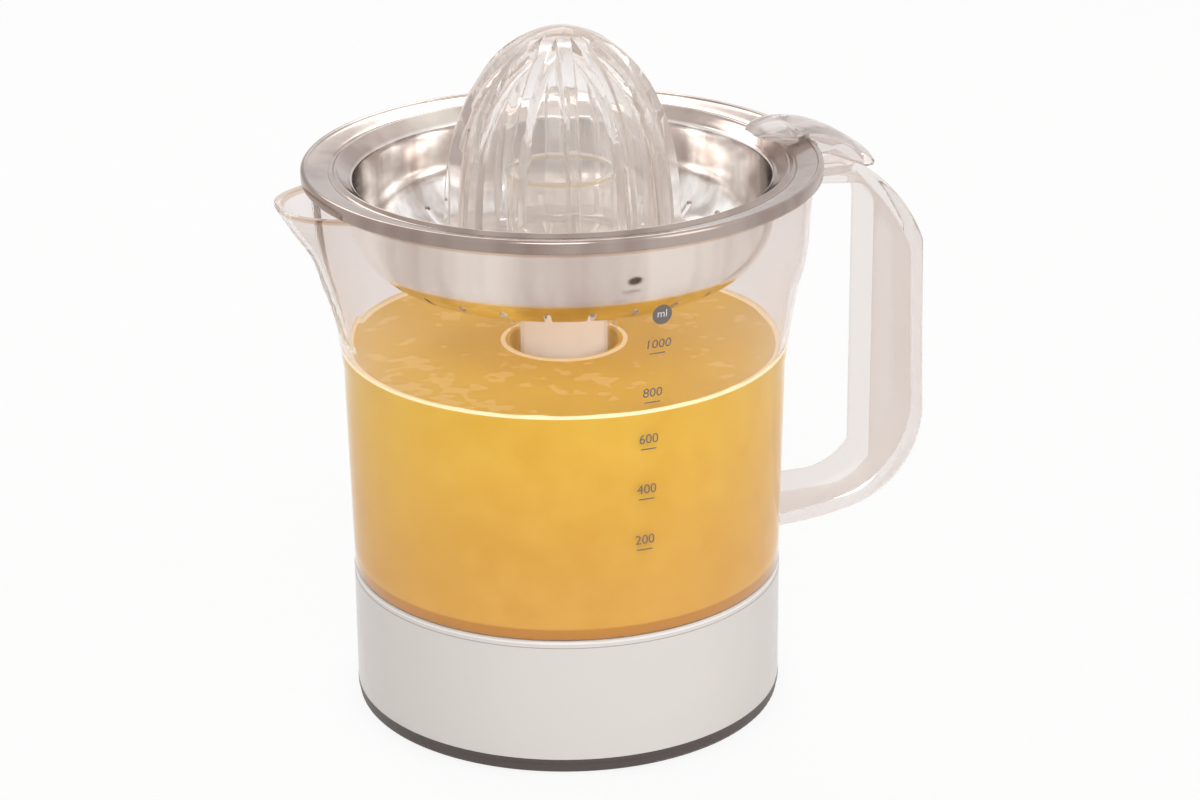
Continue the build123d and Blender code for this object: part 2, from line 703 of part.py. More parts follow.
# ---------------------------------------------------------------- jug
with BuildPart() as jug:
    # outside form: body and spout
    with BuildSketch(Plane.XZ):
        with BuildLine():
            body_foot, body_rim = jug_side(0)
            Polyline(body_rim, (0, jug_rim_height), (0, deck_height), body_foot)
        make_face()
    revolve(axis=Axis.Z)
    loft(sections=spout_sections(0))
    # inside: juice room round the chimney, floor raised over the motor dome, spout channel
    with BuildSketch(Plane.XZ):
        with BuildLine():
            room_foot, room_rim = jug_side(jug_wall)
            Polyline(
                room_rim,
                (room_rim[0], jug_rim_height + 1),
                (0, jug_rim_height + 1),
                (0, chimney_top),
                (chimney_outer_radius - 1, chimney_top),
                (chimney_outer_radius, jug_dome_top),
                (jug_dome_outer - 2, jug_dome_top),
                (jug_dome_outer, jug_dome_top - 2),
                (jug_dome_outer, deck_height),
                room_foot,
            )
        make_face()
        with Locations((jug_foot_radius / 2, deck_height)):
            Rectangle(2 * jug_foot_radius, 2 * jug_floor, mode=Mode.SUBTRACT)
    revolve(axis=Axis.Z, mode=Mode.SUBTRACT)
    loft(sections=spout_sections(jug_wall), mode=Mode.SUBTRACT)
    # hollow under the raised floor, and the chimney's bore
    with BuildSketch(Plane.XZ):
        with BuildLine():
            Polyline(
                (0, deck_height),
                (jug_dome_bore, deck_height),
                (jug_dome_bore, jug_dome_underside - 2),
                (jug_dome_bore - 2, jug_dome_underside),
                (chimney_bore_radius, jug_dome_underside),
                (chimney_bore_radius, chimney_top),
                (0, chimney_top),
                close=True,
            )
        make_face()
    revolve(axis=Axis.Z, mode=Mode.SUBTRACT)
    foot_edge = (
        jug.edges()
        .filter_by(GeomType.CIRCLE)
        .filter_by(lambda e: abs(e.radius - jug_foot_radius) < 0.01)
        .sort_by(Axis.Z)[0]
    )
    fillet(foot_edge, base_wall / 3)

# ---------------------------------------------------------------- handle
with BuildPart() as jug_handle:
    # channel section, open towards the jug, with two webs
    with BuildSketch(Plane.XZ):
        with BuildLine():
            foot_end, top_end = handle_outline(0)
            arm_top = (foot_end[0], handle_bottom + handle_arm)
            arm_knee = (handle_inner - 18.0, handle_bottom + handle_arm)
            grip_bottom = (handle_inner, handle_bottom + handle_arm + 8.0)
            grip_top = (handle_inner, handle_top - 15.5)
            upper_knee = (handle_inner - 8.7, handle_top - 6.2)
            Line(foot_end, arm_top)
            Line(arm_top, arm_knee)
            ThreePointArc(arm_knee, (handle_inner - 6.7, handle_bottom + handle_arm + 2.2), grip_bottom)
            Line(grip_bottom, grip_top)
            ThreePointArc(grip_top, (handle_inner - 2.5, handle_top - 8.9), upper_knee)
            Line(upper_knee, (top_end[0], handle_top - 4.4))
            Line((top_end[0], handle_top - 4.4), top_end)
        make_face()
    extrude(amount=handle_width / 2, both=True)
    with BuildSketch(Plane.XZ):
        with BuildLine():
            pocket_foot, pocket_top = handle_outline(handle_outer_wall)
            Line(pocket_foot, pocket_top)
        make_face()
    extrude(amount=handle_width / 2 - handle_side_wall, both=True, mode=Mode.SUBTRACT)
    with BuildSketch(Plane.XZ):
        grip_middle = (handle_inner + handle_reach - handle_outer_wall) / 2
        grip_depth = handle_reach - handle_inner - handle_outer_wall / 2
        with Locations((grip_middle, handle_bottom + handle_arm + 9.0)):
            Rectangle(grip_depth, handle_web)
        with Locations((grip_middle - 3.0, handle_top - 17.0)):
            Rectangle(grip_depth - 6.0, handle_web)
    extrude(amount=handle_width / 2 - handle_side_wall / 2, both=True)
    # the arms end on the jug's outside
    with BuildSketch(Plane.XZ):
        with BuildLine():
            outer_foot, outer_rim = jug_side(0)
            Polyline(outer_rim, (0, jug_rim_height), (0, deck_height), outer_foot)
        make_face()
    revolve(axis=Axis.Z, mode=Mode.SUBTRACT)

# ---------------------------------------------------------------- strainer
with BuildPart() as strainer_bowl:
    wall_foot = bowl_floor + bowl_bend_height
    bend_out = (bowl_radius - 0.3 * bowl_taper, bowl_floor + 0.3 * bowl_bend_height)
    bend_in = (bend_out[0] - 0.7 * sheet, bend_out[1] + 0.7 * sheet)
    hole_radius = collar_radius_outer + slip
    bead_top = (strainer_rim_radius - 2.6, rim_top)
    bead_low = (strainer_rim_radius - 0.8, jug_rim_height)
    with BuildSketch(Plane.XZ):
        with BuildLine():
            Polyline(
                (bowl_radius + 0.4, shelf_top),
                (strainer_bead_inner, shelf_top),
                (strainer_bead_inner + 0.7, rim_top - 0.9),
                bead_top,
            )
            ThreePointArc(bead_top, (strainer_rim_radius, jug_rim_height + 1.7), bead_low)
            Polyline(
                bead_low,
                (strainer_bead_inner, jug_rim_height),
                (strainer_bead_inner, shelf_top - sheet),
                (bowl_radius, shelf_top - sheet),
                (bowl_radius, wall_foot),
            )
            ThreePointArc((bowl_radius, wall_foot), bend_out, (bowl_floor_radius, bowl_floor))
            Polyline(
                (bowl_floor_radius, bowl_floor),
                (hole_radius, bowl_floor),
                (hole_radius, bowl_floor_top),
                (bowl_floor_radius - 0.3, bowl_floor_top),
            )
            ThreePointArc(
                (bowl_floor_radius - 0.3, bowl_floor_top), bend_in, (bowl_radius - sheet, wall_foot)
            )
            Polyline(
                (bowl_radius - sheet, wall_foot),
                (bowl_radius - sheet, shelf_top - 1.2),
                (bowl_radius + 0.4, shelf_top),
            )
        make_face()
    revolve(axis=Axis.Z)
    # holes for the tab's rivets
    with BuildSketch(Plane.XY.offset(rim_top - rivet_depth)):
        with Locations((tab_middle, 0)):
            with GridLocations(0, rivet_spacing, 1, 2):
                Circle(rivet_shank_radius)
    extrude(amount=rivet_depth + tab_floor, mode=Mode.SUBTRACT)
    with BuildSketch(Plane.XY.offset(bowl_floor)):
        with PolarLocations((slot_inner_radius + slot_outer_radius) / 2, slot_count):
            SlotOverall(slot_outer_radius - slot_inner_radius, slot_width)
    extrude(amount=0.3 * bowl_bend_height, mode=Mode.SUBTRACT)

with BuildPart() as strainer_hub:
    # collar through the bowl's floor, with a flange above it and a ring below it
    ring_top = bowl_floor - hub_ring_thickness
    with BuildSketch(Plane.XZ):
        with BuildLine():
            Polyline(
                (collar_bore_radius, ring_top),
                (collar_radius_outer + 3, ring_top),
                (collar_radius_outer + 3, bowl_floor),
                (collar_radius_outer, bowl_floor),
                (collar_radius_outer, bowl_floor_top),
                (collar_radius_outer + 4, bowl_floor_top),
                (collar_radius_outer + 4, bowl_floor_top + 1.2),
                (collar_radius_outer, bowl_floor_top + 2.6),
                (collar_radius_outer, collar_top),
                (collar_bore_radius, collar_top),
                close=True,
            )
        make_face()
    revolve(axis=Axis.Z)
    with BuildSketch(Plane.XY.offset(ring_top - hub_ring_thickness)):
        Circle(hub_ring_radius)
        Circle(collar_bore_radius, mode=Mode.SUBTRACT)
    extrude(amount=hub_ring_thickness)

with BuildPart() as strainer_tab:
    # arched thumb tab: a curved tongue with a cheek down each side, seated on the rim
    tip = (tab_tip_radius, tab_crest - tab_tip_drop)
    end = (tab_end_radius, tab_crest - tab_end_drop)
    crest = (tab_crest_radius, tab_crest)
    fall = (tab_fall_radius, tab_crest - tab_middle_drop)
    under_end = (end[0] - 1.4, end[1] - tab_wall)
    under_tip = (tip[0] + 1.6, tip[1] - 0.3 * tab_wall)
    with BuildSketch(Plane.XZ):
        with BuildLine():
            Spline(tip, crest, fall, end)
            Line(end, under_end)
            Spline(
                under_end,
                (fall[0] - 0.8, fall[1] - tab_wall),
                (crest[0] + 0.6, crest[1] - tab_wall),
                under_tip,
            )
            Line(under_tip, tip)
        make_face()
    extrude(amount=tab_width / 2, both=True)
    # the tongue narrows to a rounded tip
    shoulder_radius = strainer_rim_radius - 0.3 * tab_inward
    with BuildSketch():
        with BuildLine():
            Spline(
                (shoulder_radius, tab_width / 2),
                (tab_tip_radius, 0),
                (shoulder_radius, -tab_width / 2),
                tangents=((-1, 0), (1, 0)),
            )
            Polyline(
                (shoulder_radius, -tab_width / 2),
                (tab_end_radius, -tab_width / 2),
                (tab_end_radius, tab_width / 2),
                (shoulder_radius, tab_width / 2),
            )
        make_face()
    extrude(amount=tab_crest, mode=Mode.INTERSECT)
    with BuildSketch(Plane.XZ.offset(tab_width / 2 - tab_wall)):
        with BuildLine():
            Polyline(
                (strainer_rim_radius - tab_cheek_inner / 2, tab_crest - tab_wall / 2),
                (strainer_rim_radius - tab_cheek_inner / 2, rim_top + tab_clearance),
                (strainer_rim_radius + 2 * tab_clearance, rim_top + tab_clearance),
                (strainer_rim_radius + 2 * tab_clearance, jug_rim_height - 1),
                (strainer_rim_radius + tab_cheek_inner / 2, jug_rim_height - 1),
                (tab_end_radius - 5.0, tab_crest - tab_end_drop + 1.8),
                (fall[0], fall[1] - tab_wall / 2),
                close=True,
            )
        make_face()
    extrude(amount=tab_wall)
    mirror(about=Plane.XZ)
    # floor of the tab on the strainer's rim, which the rivets go through
    with BuildSketch(Plane.XY.offset(tab_seat)):
        with Locations((tab_middle, 0)):
            Rectangle(strainer_bead_width - 0.6, tab_width)
            with GridLocations(0, rivet_spacing, 1, 2):
                Circle(rivet_shank_radius, mode=Mode.SUBTRACT)
    extrude(amount=tab_floor)

with BuildPart() as tab_rivets:
    with BuildSketch(Plane.XY.offset(rim_top - rivet_depth)):
        with Locations((tab_middle, 0)):
            with GridLocations(0, rivet_spacing, 1, 2):
                Circle(rivet_shank_radius - running)
    extrude(amount=tab_seat + tab_floor - rim_top + rivet_depth)
    with BuildSketch(Plane.XY.offset(tab_seat + tab_floor)):
        with Locations((tab_middle, 0)):
            with GridLocations(0, rivet_spacing, 1, 2):
                Circle(rivet_radius)
    extrude(amount=rivet_head_height)
    fillet(tab_rivets.edges().group_by(Axis.Z)[-1], 0.5)

# ---------------------------------------------------------------- drive shaft and cone
with BuildPart() as drive_shaft:
    socket_radius = spindle_radius + 2.6
    with BuildSketch(Plane.XZ):
        with BuildLine():
            Polyline(
                (0, socket_bottom),
                (socket_radius, socket_bottom),
                (socket_radius, hex_head_top + 4),
                (sleeve_inner, hex_head_top + 8),
                (sleeve_inner, sleeve_bottom),
                (sleeve_radius, sleeve_bottom),
                (sleeve_radius, shaft_flange_bottom),
                (shaft_flange_radius, shaft_flange_bottom),
                (shaft_flange_radius, shaft_flange_top),
                (shaft_radius + 3, shaft_flange_top + 1.5),
                (shaft_radius, shaft_flange_top + 6),
                (shaft_radius, cone_hex_bottom),
                (0, cone_hex_bottom),
                close=True,
            )
        make_face()
    revolve(axis=Axis.Z)
    with BuildSketch(Plane.XY.offset(socket_bottom)):
        RegularPolygon(hex_width / 2 + running, 6, major_radius=False)
    extrude(amount=hex_head_top + 0.5 - socket_bottom, mode=Mode.SUBTRACT)
    with BuildSketch(Plane.XY.offset(cone_hex_bottom)):
        RegularPolygon(cone_hex_width / 2, 6, major_radius=False)
    extrude(amount=shaft_top - cone_hex_bottom)
    chamfer(drive_shaft.edges().group_by(Axis.Z)[-1], hex_chamfer)

with BuildPart() as cone:
    # tapered fins trimmed to the dome, then the core between them, then the inside hollowed
    tip_width = fin_tip_width
    root_width = fin_tip_width + 2 * fin_taper * cone_base_radius
    flank_angle = math.degrees(math.atan2(cone_base_radius, (root_width - tip_width) / 2))
    with BuildSketch(Plane.XY.offset(cone_skirt_bottom)):
        with PolarLocations(cone_base_radius / 2, fin_count, start_angle=fin_phase):
            Trapezoid(root_width, cone_base_radius, flank_angle, rotation=-90)
    extrude(amount=cone_top - cone_skirt_bottom)
    with BuildSketch(Plane.XZ):
        with BuildLine():
            cone_dome(0)
        make_face()
    revolve(axis=Axis.Z, mode=Mode.INTERSECT)
    with BuildSketch(Plane.XZ):
        with BuildLine():
            cone_dome(fin_height)
        make_face()
    revolve(axis=Axis.Z)
    with BuildSketch(Plane.XY.offset(cone_skirt_bottom)):
        Circle(cone_skirt_radius)
    extrude(amount=cone_skirt_thickness)
    with BuildSketch(Plane.XZ):
        with BuildLine():
            cone_dome(fin_height + cone_wall)
        make_face()
    revolve(axis=Axis.Z, mode=Mode.SUBTRACT)
    # socket that drops over the shaft's hexagon
    socket_wall_radius = cone_hex_width / 2 / math.cos(math.radians(30)) + cone_socket_wall
    with BuildSketch(Plane.XY.offset(cone_hex_bottom + slip)):
        Circle(socket_wall_radius)
    extrude(amount=cone_top - fin_height - 1.0 - cone_hex_bottom - slip)
    with BuildSketch(Plane.XY.offset(cone_hex_bottom)):
        RegularPolygon(cone_hex_width / 2 + running, 6, major_radius=False)
    extrude(amount=shaft_top + 0.3 - cone_hex_bottom, mode=Mode.SUBTRACT)

# ---------------------------------------------------------------- labels and files
pieces = {
    "base_housing": base_housing,
    "bottom_cover": bottom_cover,
    "foot_ring": foot_ring,
    "case_screws": case_screws,
    "cord_gland": cord_gland,
    "motor_can": motor_can,
    "stator_coil": stator_coil,
    "rotor": rotor,
    "motor_pinion": motor_pinion,
    "gear_plate": gear_plate,
    "motor_screws": motor_screws,
    "idler_pin": idler_pin,
    "idler_gear": idler_gear,
    "output_gear": output_gear,
    "gear_cover": gear_cover,
    "start_switch": start_switch,
    "switch_plunger": switch_plunger,
    "return_spring": return_spring,
    "spindle": spindle,
    "spindle_bush": spindle_bush,
    "spindle_seal": spindle_seal,
    "jug": jug,
    "jug_handle": jug_handle,
    "strainer_bowl": strainer_bowl,
    "strainer_hub": strainer_hub,
    "strainer_tab": strainer_tab,
    "tab_rivets": tab_rivets,
    "drive_shaft": drive_shaft,
    "cone": cone,
}
for name, piece in pieces.items():
    piece.part.label = name
    export_step(piece.part, f"parts/{name}.step")
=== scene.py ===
# %% [markdown]
# Citrus press juicer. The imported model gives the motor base, the gear train, the drive shaft
# and every joint. This file dresses it: clear mouldings, polished steel, glossy white plastic,
# a printed scale, and the juice that stands in the jug. Every length below is in metres, and
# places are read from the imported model, so nothing has to be fitted afterwards.

# %% Load the frame
import json
import math

import bmesh
import bpy
from mathutils import Matrix, Vector, noise


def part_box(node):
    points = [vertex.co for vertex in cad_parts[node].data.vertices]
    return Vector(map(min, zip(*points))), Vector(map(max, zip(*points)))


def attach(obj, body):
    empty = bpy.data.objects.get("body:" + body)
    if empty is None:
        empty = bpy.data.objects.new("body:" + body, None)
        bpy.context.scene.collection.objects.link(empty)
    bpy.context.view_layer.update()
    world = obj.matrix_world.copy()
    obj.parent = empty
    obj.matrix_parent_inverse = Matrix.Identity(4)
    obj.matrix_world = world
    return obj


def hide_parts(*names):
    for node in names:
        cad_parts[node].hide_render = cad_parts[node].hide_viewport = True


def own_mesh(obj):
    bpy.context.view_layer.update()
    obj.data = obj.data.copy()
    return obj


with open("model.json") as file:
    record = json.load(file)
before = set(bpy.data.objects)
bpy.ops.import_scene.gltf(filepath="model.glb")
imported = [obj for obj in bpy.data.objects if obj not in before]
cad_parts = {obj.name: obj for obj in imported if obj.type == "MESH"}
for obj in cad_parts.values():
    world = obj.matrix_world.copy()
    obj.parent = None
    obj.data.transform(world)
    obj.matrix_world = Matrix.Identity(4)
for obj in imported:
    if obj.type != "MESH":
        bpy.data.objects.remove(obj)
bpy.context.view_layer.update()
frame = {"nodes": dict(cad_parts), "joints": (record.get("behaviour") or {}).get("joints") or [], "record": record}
MM = 0.001

# %% Sizes that the pieces share
jug_low, jug_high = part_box("jug")
rim_low, rim_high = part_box("strainer_bowl")
hub_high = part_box("strainer_hub")[1]
cone_low, cone_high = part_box("cone")
tab_low, tab_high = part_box("strainer_tab")
house_low, house_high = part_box("base_housing")

wall = 2.3 * MM                      # the jug's wall
rim_height = jug_high.z              # top of the jug
bowl_level = rim_low.z               # underside of the bowl's floor
deck = jug_low.z                     # where the jug meets the base
foot_radius = 67.5 * MM
belly_radius = 68.9 * MM
belly_height = 112 * MM
rim_radius = jug_high.y              # the jug's flared mouth
spout_reach = -jug_low.x
dome_clearance = house_high.z + 1.0 * MM   # underside of the jug's floor over the motor dome
chimney_core = 19.5 * MM             # everything of the jug inside this radius is chimney
juice_level = 117.5 * MM
print("jug", round(rim_height, 4), "cone", round(cone_high.z, 4))

# %% [markdown]
# ## From a mesh to a piece
# A piece is grown in a bmesh, then handed over as an object that sits at the origin and rides
# on one of the model's bodies. Keeping the object at the origin means that a pattern which
# reads object coordinates stays where it was put. Smooth shading with crisp sharp edges saves
# the many faces that a rounded look would otherwise need.

# %% From a bmesh to a finished piece
def make_piece(name, mesh, finish, body, smooth_below=40):
    """Turns a bmesh into a piece on a body, shaded smooth except over sharp edges."""
    data = bpy.data.meshes.new(name)
    mesh.to_mesh(data)
    mesh.free()
    piece = bpy.data.objects.new(name, data)
    bpy.context.scene.collection.objects.link(piece)
    data.materials.append(finish)
    shade(piece, smooth_below)
    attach(piece, body)
    print("made", name, len(data.polygons), "faces on", body)
    return piece


def shade(piece, smooth_below):
    """Smooth shading, with edges sharper than smooth_below degrees left crisp."""
    for face in piece.data.polygons:
        face.use_smooth = True
    piece.data.set_sharp_from_angle(angle=math.radians(smooth_below))

# %% [markdown]
# ## The lathe
# Nearly everything here is round: jug, bowl, cone and base all share one axis. So an outline is
# drawn once, as points of radius and height, and a spin turns it. A full spin leaves a seam
# where it meets itself; use_merge and a merge of doubles close it, and the normals are turned
# outwards afterwards, once the shell is whole.

# %% Lathe: turn an outline about the drive axis
def lathe(outline, steps, closed=True):
    """Spins (radius, height) points about Z into a shell; points on the axis become poles."""
    mesh = bmesh.new()
    ring = [mesh.verts.new((r, 0, z)) for r, z in outline]
    edges = [mesh.edges.new(pair) for pair in zip(ring, ring[1:])]
    if closed:
        edges.append(mesh.edges.new((ring[-1], ring[0])))
    bmesh.ops.spin(mesh, geom=ring + edges, cent=(0, 0, 0), axis=(0, 0, 1),
                   angle=2 * math.pi, steps=steps, use_merge=True)
    bmesh.ops.remove_doubles(mesh, verts=mesh.verts, dist=1e-6)
    bmesh.ops.recalc_face_normals(mesh, faces=mesh.faces)
    return mesh


print("the lathe turns about", (0, 0, 1))

# %% [markdown]
# ## Curves
# An outline keeps only the points that its shape needs. Round stretches are arcs through three
# points, and free curves pass smoothly through a handful, as a draughtsman's spline does.

# %% Arc through three points
def arc(start, middle, end, count):
    """Points of the circular arc through three points, without the last one."""
    (ax, ay), (bx, by), (cx, cy) = start, middle, end
    d = 2 * (ax * (by - cy) + bx * (cy - ay) + cx * (ay - by))
    a2, b2, c2 = ax**2 + ay**2, bx**2 + by**2, cx**2 + cy**2
    ux = (a2 * (by - cy) + b2 * (cy - ay) + c2 * (ay - by)) / d
    uy = (a2 * (cx - bx) + b2 * (ax - cx) + c2 * (bx - ax)) / d
    first = math.atan2(ay - uy, ax - ux)
    turn_mid = (math.atan2(by - uy, bx - ux) - first) % (2 * math.pi)
    turn_end = (math.atan2(cy - uy, cx - ux) - first) % (2 * math.pi)
    if turn_mid > turn_end:
        turn_end -= 2 * math.pi
    radius = math.hypot(ax - ux, ay - uy)
    angles = [first + turn_end * i / count for i in range(count)]
    return [(ux + radius * math.cos(a), uy + radius * math.sin(a)) for a in angles]


print("a half turn starts at", arc((1, 0), (0, 1), (-1, 0), 4)[0])


# %% Free curve, and a soft step
def flow(points, count):
    """A smooth curve through the points (Catmull-Rom), with count steps in each span."""
    ends = [points[0]] + list(points) + [points[-1]]
    out = []
    for a, b, c, d in zip(ends, ends[1:], ends[2:], ends[3:]):
        for i in range(count):
            t = i / count
            out.append(tuple(
                0.5 * (2 * q + (r - p) * t + (2 * p - 5 * q + 4 * r - s) * t * t
                       + (3 * q - p - 3 * r + s) * t**3)
                for p, q, r, s in zip(a, b, c, d)))
    out.append(tuple(points[-1]))
    return out


def smoothstep(low, high, value):
    """Rises from 0 at low to 1 at high, level at both ends."""
    t = min(max((value - low) / (high - low), 0), 1)
    return t * t * (3 - 2 * t)


print("half way up a soft step:", smoothstep(0, 1, 0.5))

# %% [markdown]
# ## Shader maths as plain expressions
# A material is a graph of nodes joined at sockets. Drawn by hand it soon fills a screen, and a
# formula is hard to read back from it. The class below wraps one output socket, so that
# `1 - grain * 0.3` adds the Math nodes by itself and a finish reads like its recipe. The
# reflected forms, such as __rsub__, are what Python calls when the number stands on the left.

# %% A socket that does arithmetic
class Wire:
    """An output socket of a material, with + - * / that add Math nodes."""

    def __init__(self, tree, socket):
        self.tree = tree
        self.socket = socket

    def math(self, operation, first, second):
        node = self.tree.nodes.new("ShaderNodeMath")
        node.operation = operation
        for slot, value in zip(node.inputs, (first, second)):
            if isinstance(value, Wire):
                self.tree.links.new(value.socket, slot)
            else:
                slot.default_value = value
        return Wire(self.tree, node.outputs[0])

    def __add__(self, other):
        return self.math("ADD", self, other)

    def __radd__(self, other):
        return self.math("ADD", other, self)

    def __sub__(self, other):
        return self.math("SUBTRACT", self, other)

    def __rsub__(self, other):
        return self.math("SUBTRACT", other, self)

    def __mul__(self, other):
        return self.math("MULTIPLY", self, other)

    def __rmul__(self, other):
        return self.math("MULTIPLY", other, self)

    def __truediv__(self, other):
        return self.math("DIVIDE", self, other)

    def __rtruediv__(self, other):
        return self.math("DIVIDE", other, self)

    def larger(self, other):
        return self.math("MAXIMUM", self, other)

    def held(self):
        """Keeps a value between 0 and 1."""
        return self.math("MINIMUM", self.larger(0.0), 1.0)


print("sockets answer to + - * /")

# %% [markdown]
# ## One maker for every node
# All other nodes come from one method that sets what kind of node it is first, its settings
# next, and its sockets last, because some settings change which sockets there are. Patterns
# read Object coordinates: they run through a piece like the grain of a real material, need no
# unwrapping, and stay put when the piece moves.


# %% A finish that is being mixed
class Finish:
    """A material, or the world, that is being mixed: nodes come from add(), surface() closes it."""

    def __init__(self, name, owner=None):
        self.material = owner or bpy.data.materials.new(name)
        self.material.use_nodes = True
        self.tree = self.material.node_tree
        self.tree.nodes.clear()
        self.output = self.add("OutputWorld" if owner else "OutputMaterial")

    def add(self, kind, settings=None, **sockets):
        """Adds a node, makes its settings first, then fills its sockets with values or wires."""
        node = self.tree.nodes.new("ShaderNode" + kind)
        for key, value in (settings or {}).items():
            setattr(node, key, value)
        for key, value in sockets.items():
            slot = node.inputs[key.replace("_", " ")]
            if isinstance(value, Wire):
                self.tree.links.new(value.socket, slot)
            else:
                slot.default_value = value
        return node

    def wire(self, node, output=0):
        return Wire(self.tree, node.outputs[output])

    def place(self, scale=(1, 1, 1)):
        """Object coordinates, stretched by scale."""
        coordinates = self.wire(self.add("TexCoord"), "Object")
        return self.wire(self.add("Mapping", Vector=coordinates, Scale=scale))

    def noise(self, scale, detail=3.0, stretch=(1, 1, 1)):
        return self.wire(self.add("TexNoise", Vector=self.place(stretch), Scale=scale, Detail=detail))

    def ramp(self, value, *stops):
        """A colour ramp: each stop is (position, colour)."""
        node = self.add("ValToRGB", Fac=value)
        band = node.color_ramp
        while len(band.elements) < len(stops):
            band.elements.new(0.5)
        for element, (position, colour) in zip(band.elements, stops):
            element.position = position
            element.color = (*colour, 1)
        return self.wire(node)

    def mixed(self, share, first, second, how="MIX"):
        """Two colours, mixed by a share from 0 to 1."""
        node = self.add("Mix", {"data_type": "RGBA", "blend_type": how})
        for slot, value in ((0, share), (6, first), (7, second)):
            if isinstance(value, Wire):
                self.tree.links.new(value.socket, node.inputs[slot])
            else:
                node.inputs[slot].default_value = value if slot == 0 else (*value, 1)
        return self.wire(node, 2)

    def tinted(self, colour, tint, share=1.0):
        """A colour multiplied by another one."""
        return self.mixed(share, colour, tint, "MULTIPLY")

    def bump(self, height, strength, distance):
        return self.wire(self.add("Bump", Height=height, Strength=strength, Distance=distance))

    def along(self, axis):
        """Where a point lies along X, Y or Z, in metres."""
        split = self.add("SeparateXYZ", Vector=self.wire(self.add("TexCoord"), "Object"))
        return self.wire(split, axis)

    def blend(self, share, first, second):
        """Mixes two shaders by a share from 0 to 1."""
        mix = self.add("MixShader", Fac=share)
        self.tree.links.new(first.outputs[0], mix.inputs[1])
        self.tree.links.new(second.outputs[0], mix.inputs[2])
        return mix

    def surface(self, shader):
        """Closes the finish with a shader and hands it over."""
        self.tree.links.new(shader.outputs[0], self.output.inputs["Surface"])
        return self.material


# %% Colours
def plain(red, green, blue):
    """A colour as seen on screen, from 0 to 255, in the linear values that a shader wants."""
    return tuple((v / 255) ** 2.2 for v in (red, green, blue))


print("middle grey is", round(plain(128, 128, 128)[0], 3), "in a shader")

# %% [markdown]
# ## Clear plastic
# Jug, handle, tab and cone are moulded from a tinted clear plastic. It could be a Glass shader,
# but real mouldings hold a trace of milk, gather their tint at the thick edges, and are bright
# there, because light travels inside the wall and leaves at its rim. So a clear Principled
# shader is mixed with a little white, and with a deeper tone at glancing angles, whose faint
# glow is painted light for that bright rim. Just under the jug's mouth a painted brown band
# stands for the juice refracted in the rim. A low index of refraction stands for a thin wall:
# it bends what is behind it a little and hardly mirrors. For shadow rays most of it is simply
# transparent, so that the juice and the bowl inside are lit without waiting for caustics.

# %% Clear plastic
def clear_plastic(name, tint, ior, roughness, milk, edge, edge_colour, lip=None, core=None):
    """Tinted clear plastic, a share of milky white in it, and a deeper tone at glancing angles.
    It casts a faint shadow only, so that what stands behind it is lit."""
    finish = Finish(name)
    haze = finish.noise(60, 2.0)
    wear = finish.noise(900, 2.0)
    colour = (*tint, 1)
    if lip:
        # painted refraction: a brown band just under the jug's mouth stands for the juice's colour refracted in
        # the rim
        low, high = lip
        share = (finish.along("Z") - low) / (high - low)
        painted_juice_refraction = plain(206, 178, 154)
        colour = finish.ramp(share, (0.0, tint), (0.25, painted_juice_refraction), (0.75, painted_juice_refraction), (1.0, tint))
    clear = finish.add("BsdfPrincipled", Base_Color=colour, Roughness=roughness + haze * 0.02,
                       IOR=ior, Transmission_Weight=1.0, Normal=finish.bump(wear, 0.02, 0.0002))
    white = finish.add("BsdfPrincipled", Base_Color=(*plain(250, 246, 243), 1), Roughness=0.25)
    # painted light: the deeper edge tone glows a little, for light that travels along inside the plastic and
    # leaves it at the edges
    tint_and_painted_glow = finish.add("BsdfPrincipled", Base_Color=(*edge_colour, 1), Roughness=0.2,
                      Emission_Color=(*edge_colour, 1), Emission_Strength=0.3)
    glance = finish.wire(finish.add("LayerWeight", Blend=0.3), "Facing")
    body = finish.blend(milk * (0.6 + haze * 0.8), clear, white)
    body = finish.blend((glance * glance * edge).held(), body, tint_and_painted_glow)
    through = finish.wire(finish.add("LightPath"), "Is Shadow Ray") * 0.9
    if core:
        # the chimney round the drive axis is thin enough not to bend the light
        x, y = finish.along("X"), finish.along("Y")
        inside = ((core * core - x * x - y * y) / 0.00005).held()
        through = through.larger(inside * 0.8)
    return finish.surface(finish.blend(through, body, finish.add("BsdfTransparent")))


# %% The four clear mouldings
clear_jug = clear_plastic(
    "clear_jug", plain(242, 237, 235), 1.05, 0.0, 0.004, 0.6, plain(212, 203, 198),
    lip=(rim_height - 1.8 * MM, rim_height), core=chimney_core)
clear_handle = clear_plastic(
    "clear_handle", plain(236, 230, 227), 1.13, 0.02, 0.05, 0.6, plain(196, 186, 181))
clear_tab = clear_plastic(
    "clear_tab", plain(224, 216, 212), 1.16, 0.03, 0.08, 0.8, plain(172, 161, 156))
clear_cone = clear_plastic(
    "clear_cone", plain(251, 250, 250), 1.22, 0.03, 0.09, 1.8, plain(192, 178, 168))
print("clear:", clear_jug.name, clear_handle.name, clear_tab.name, clear_cone.name)
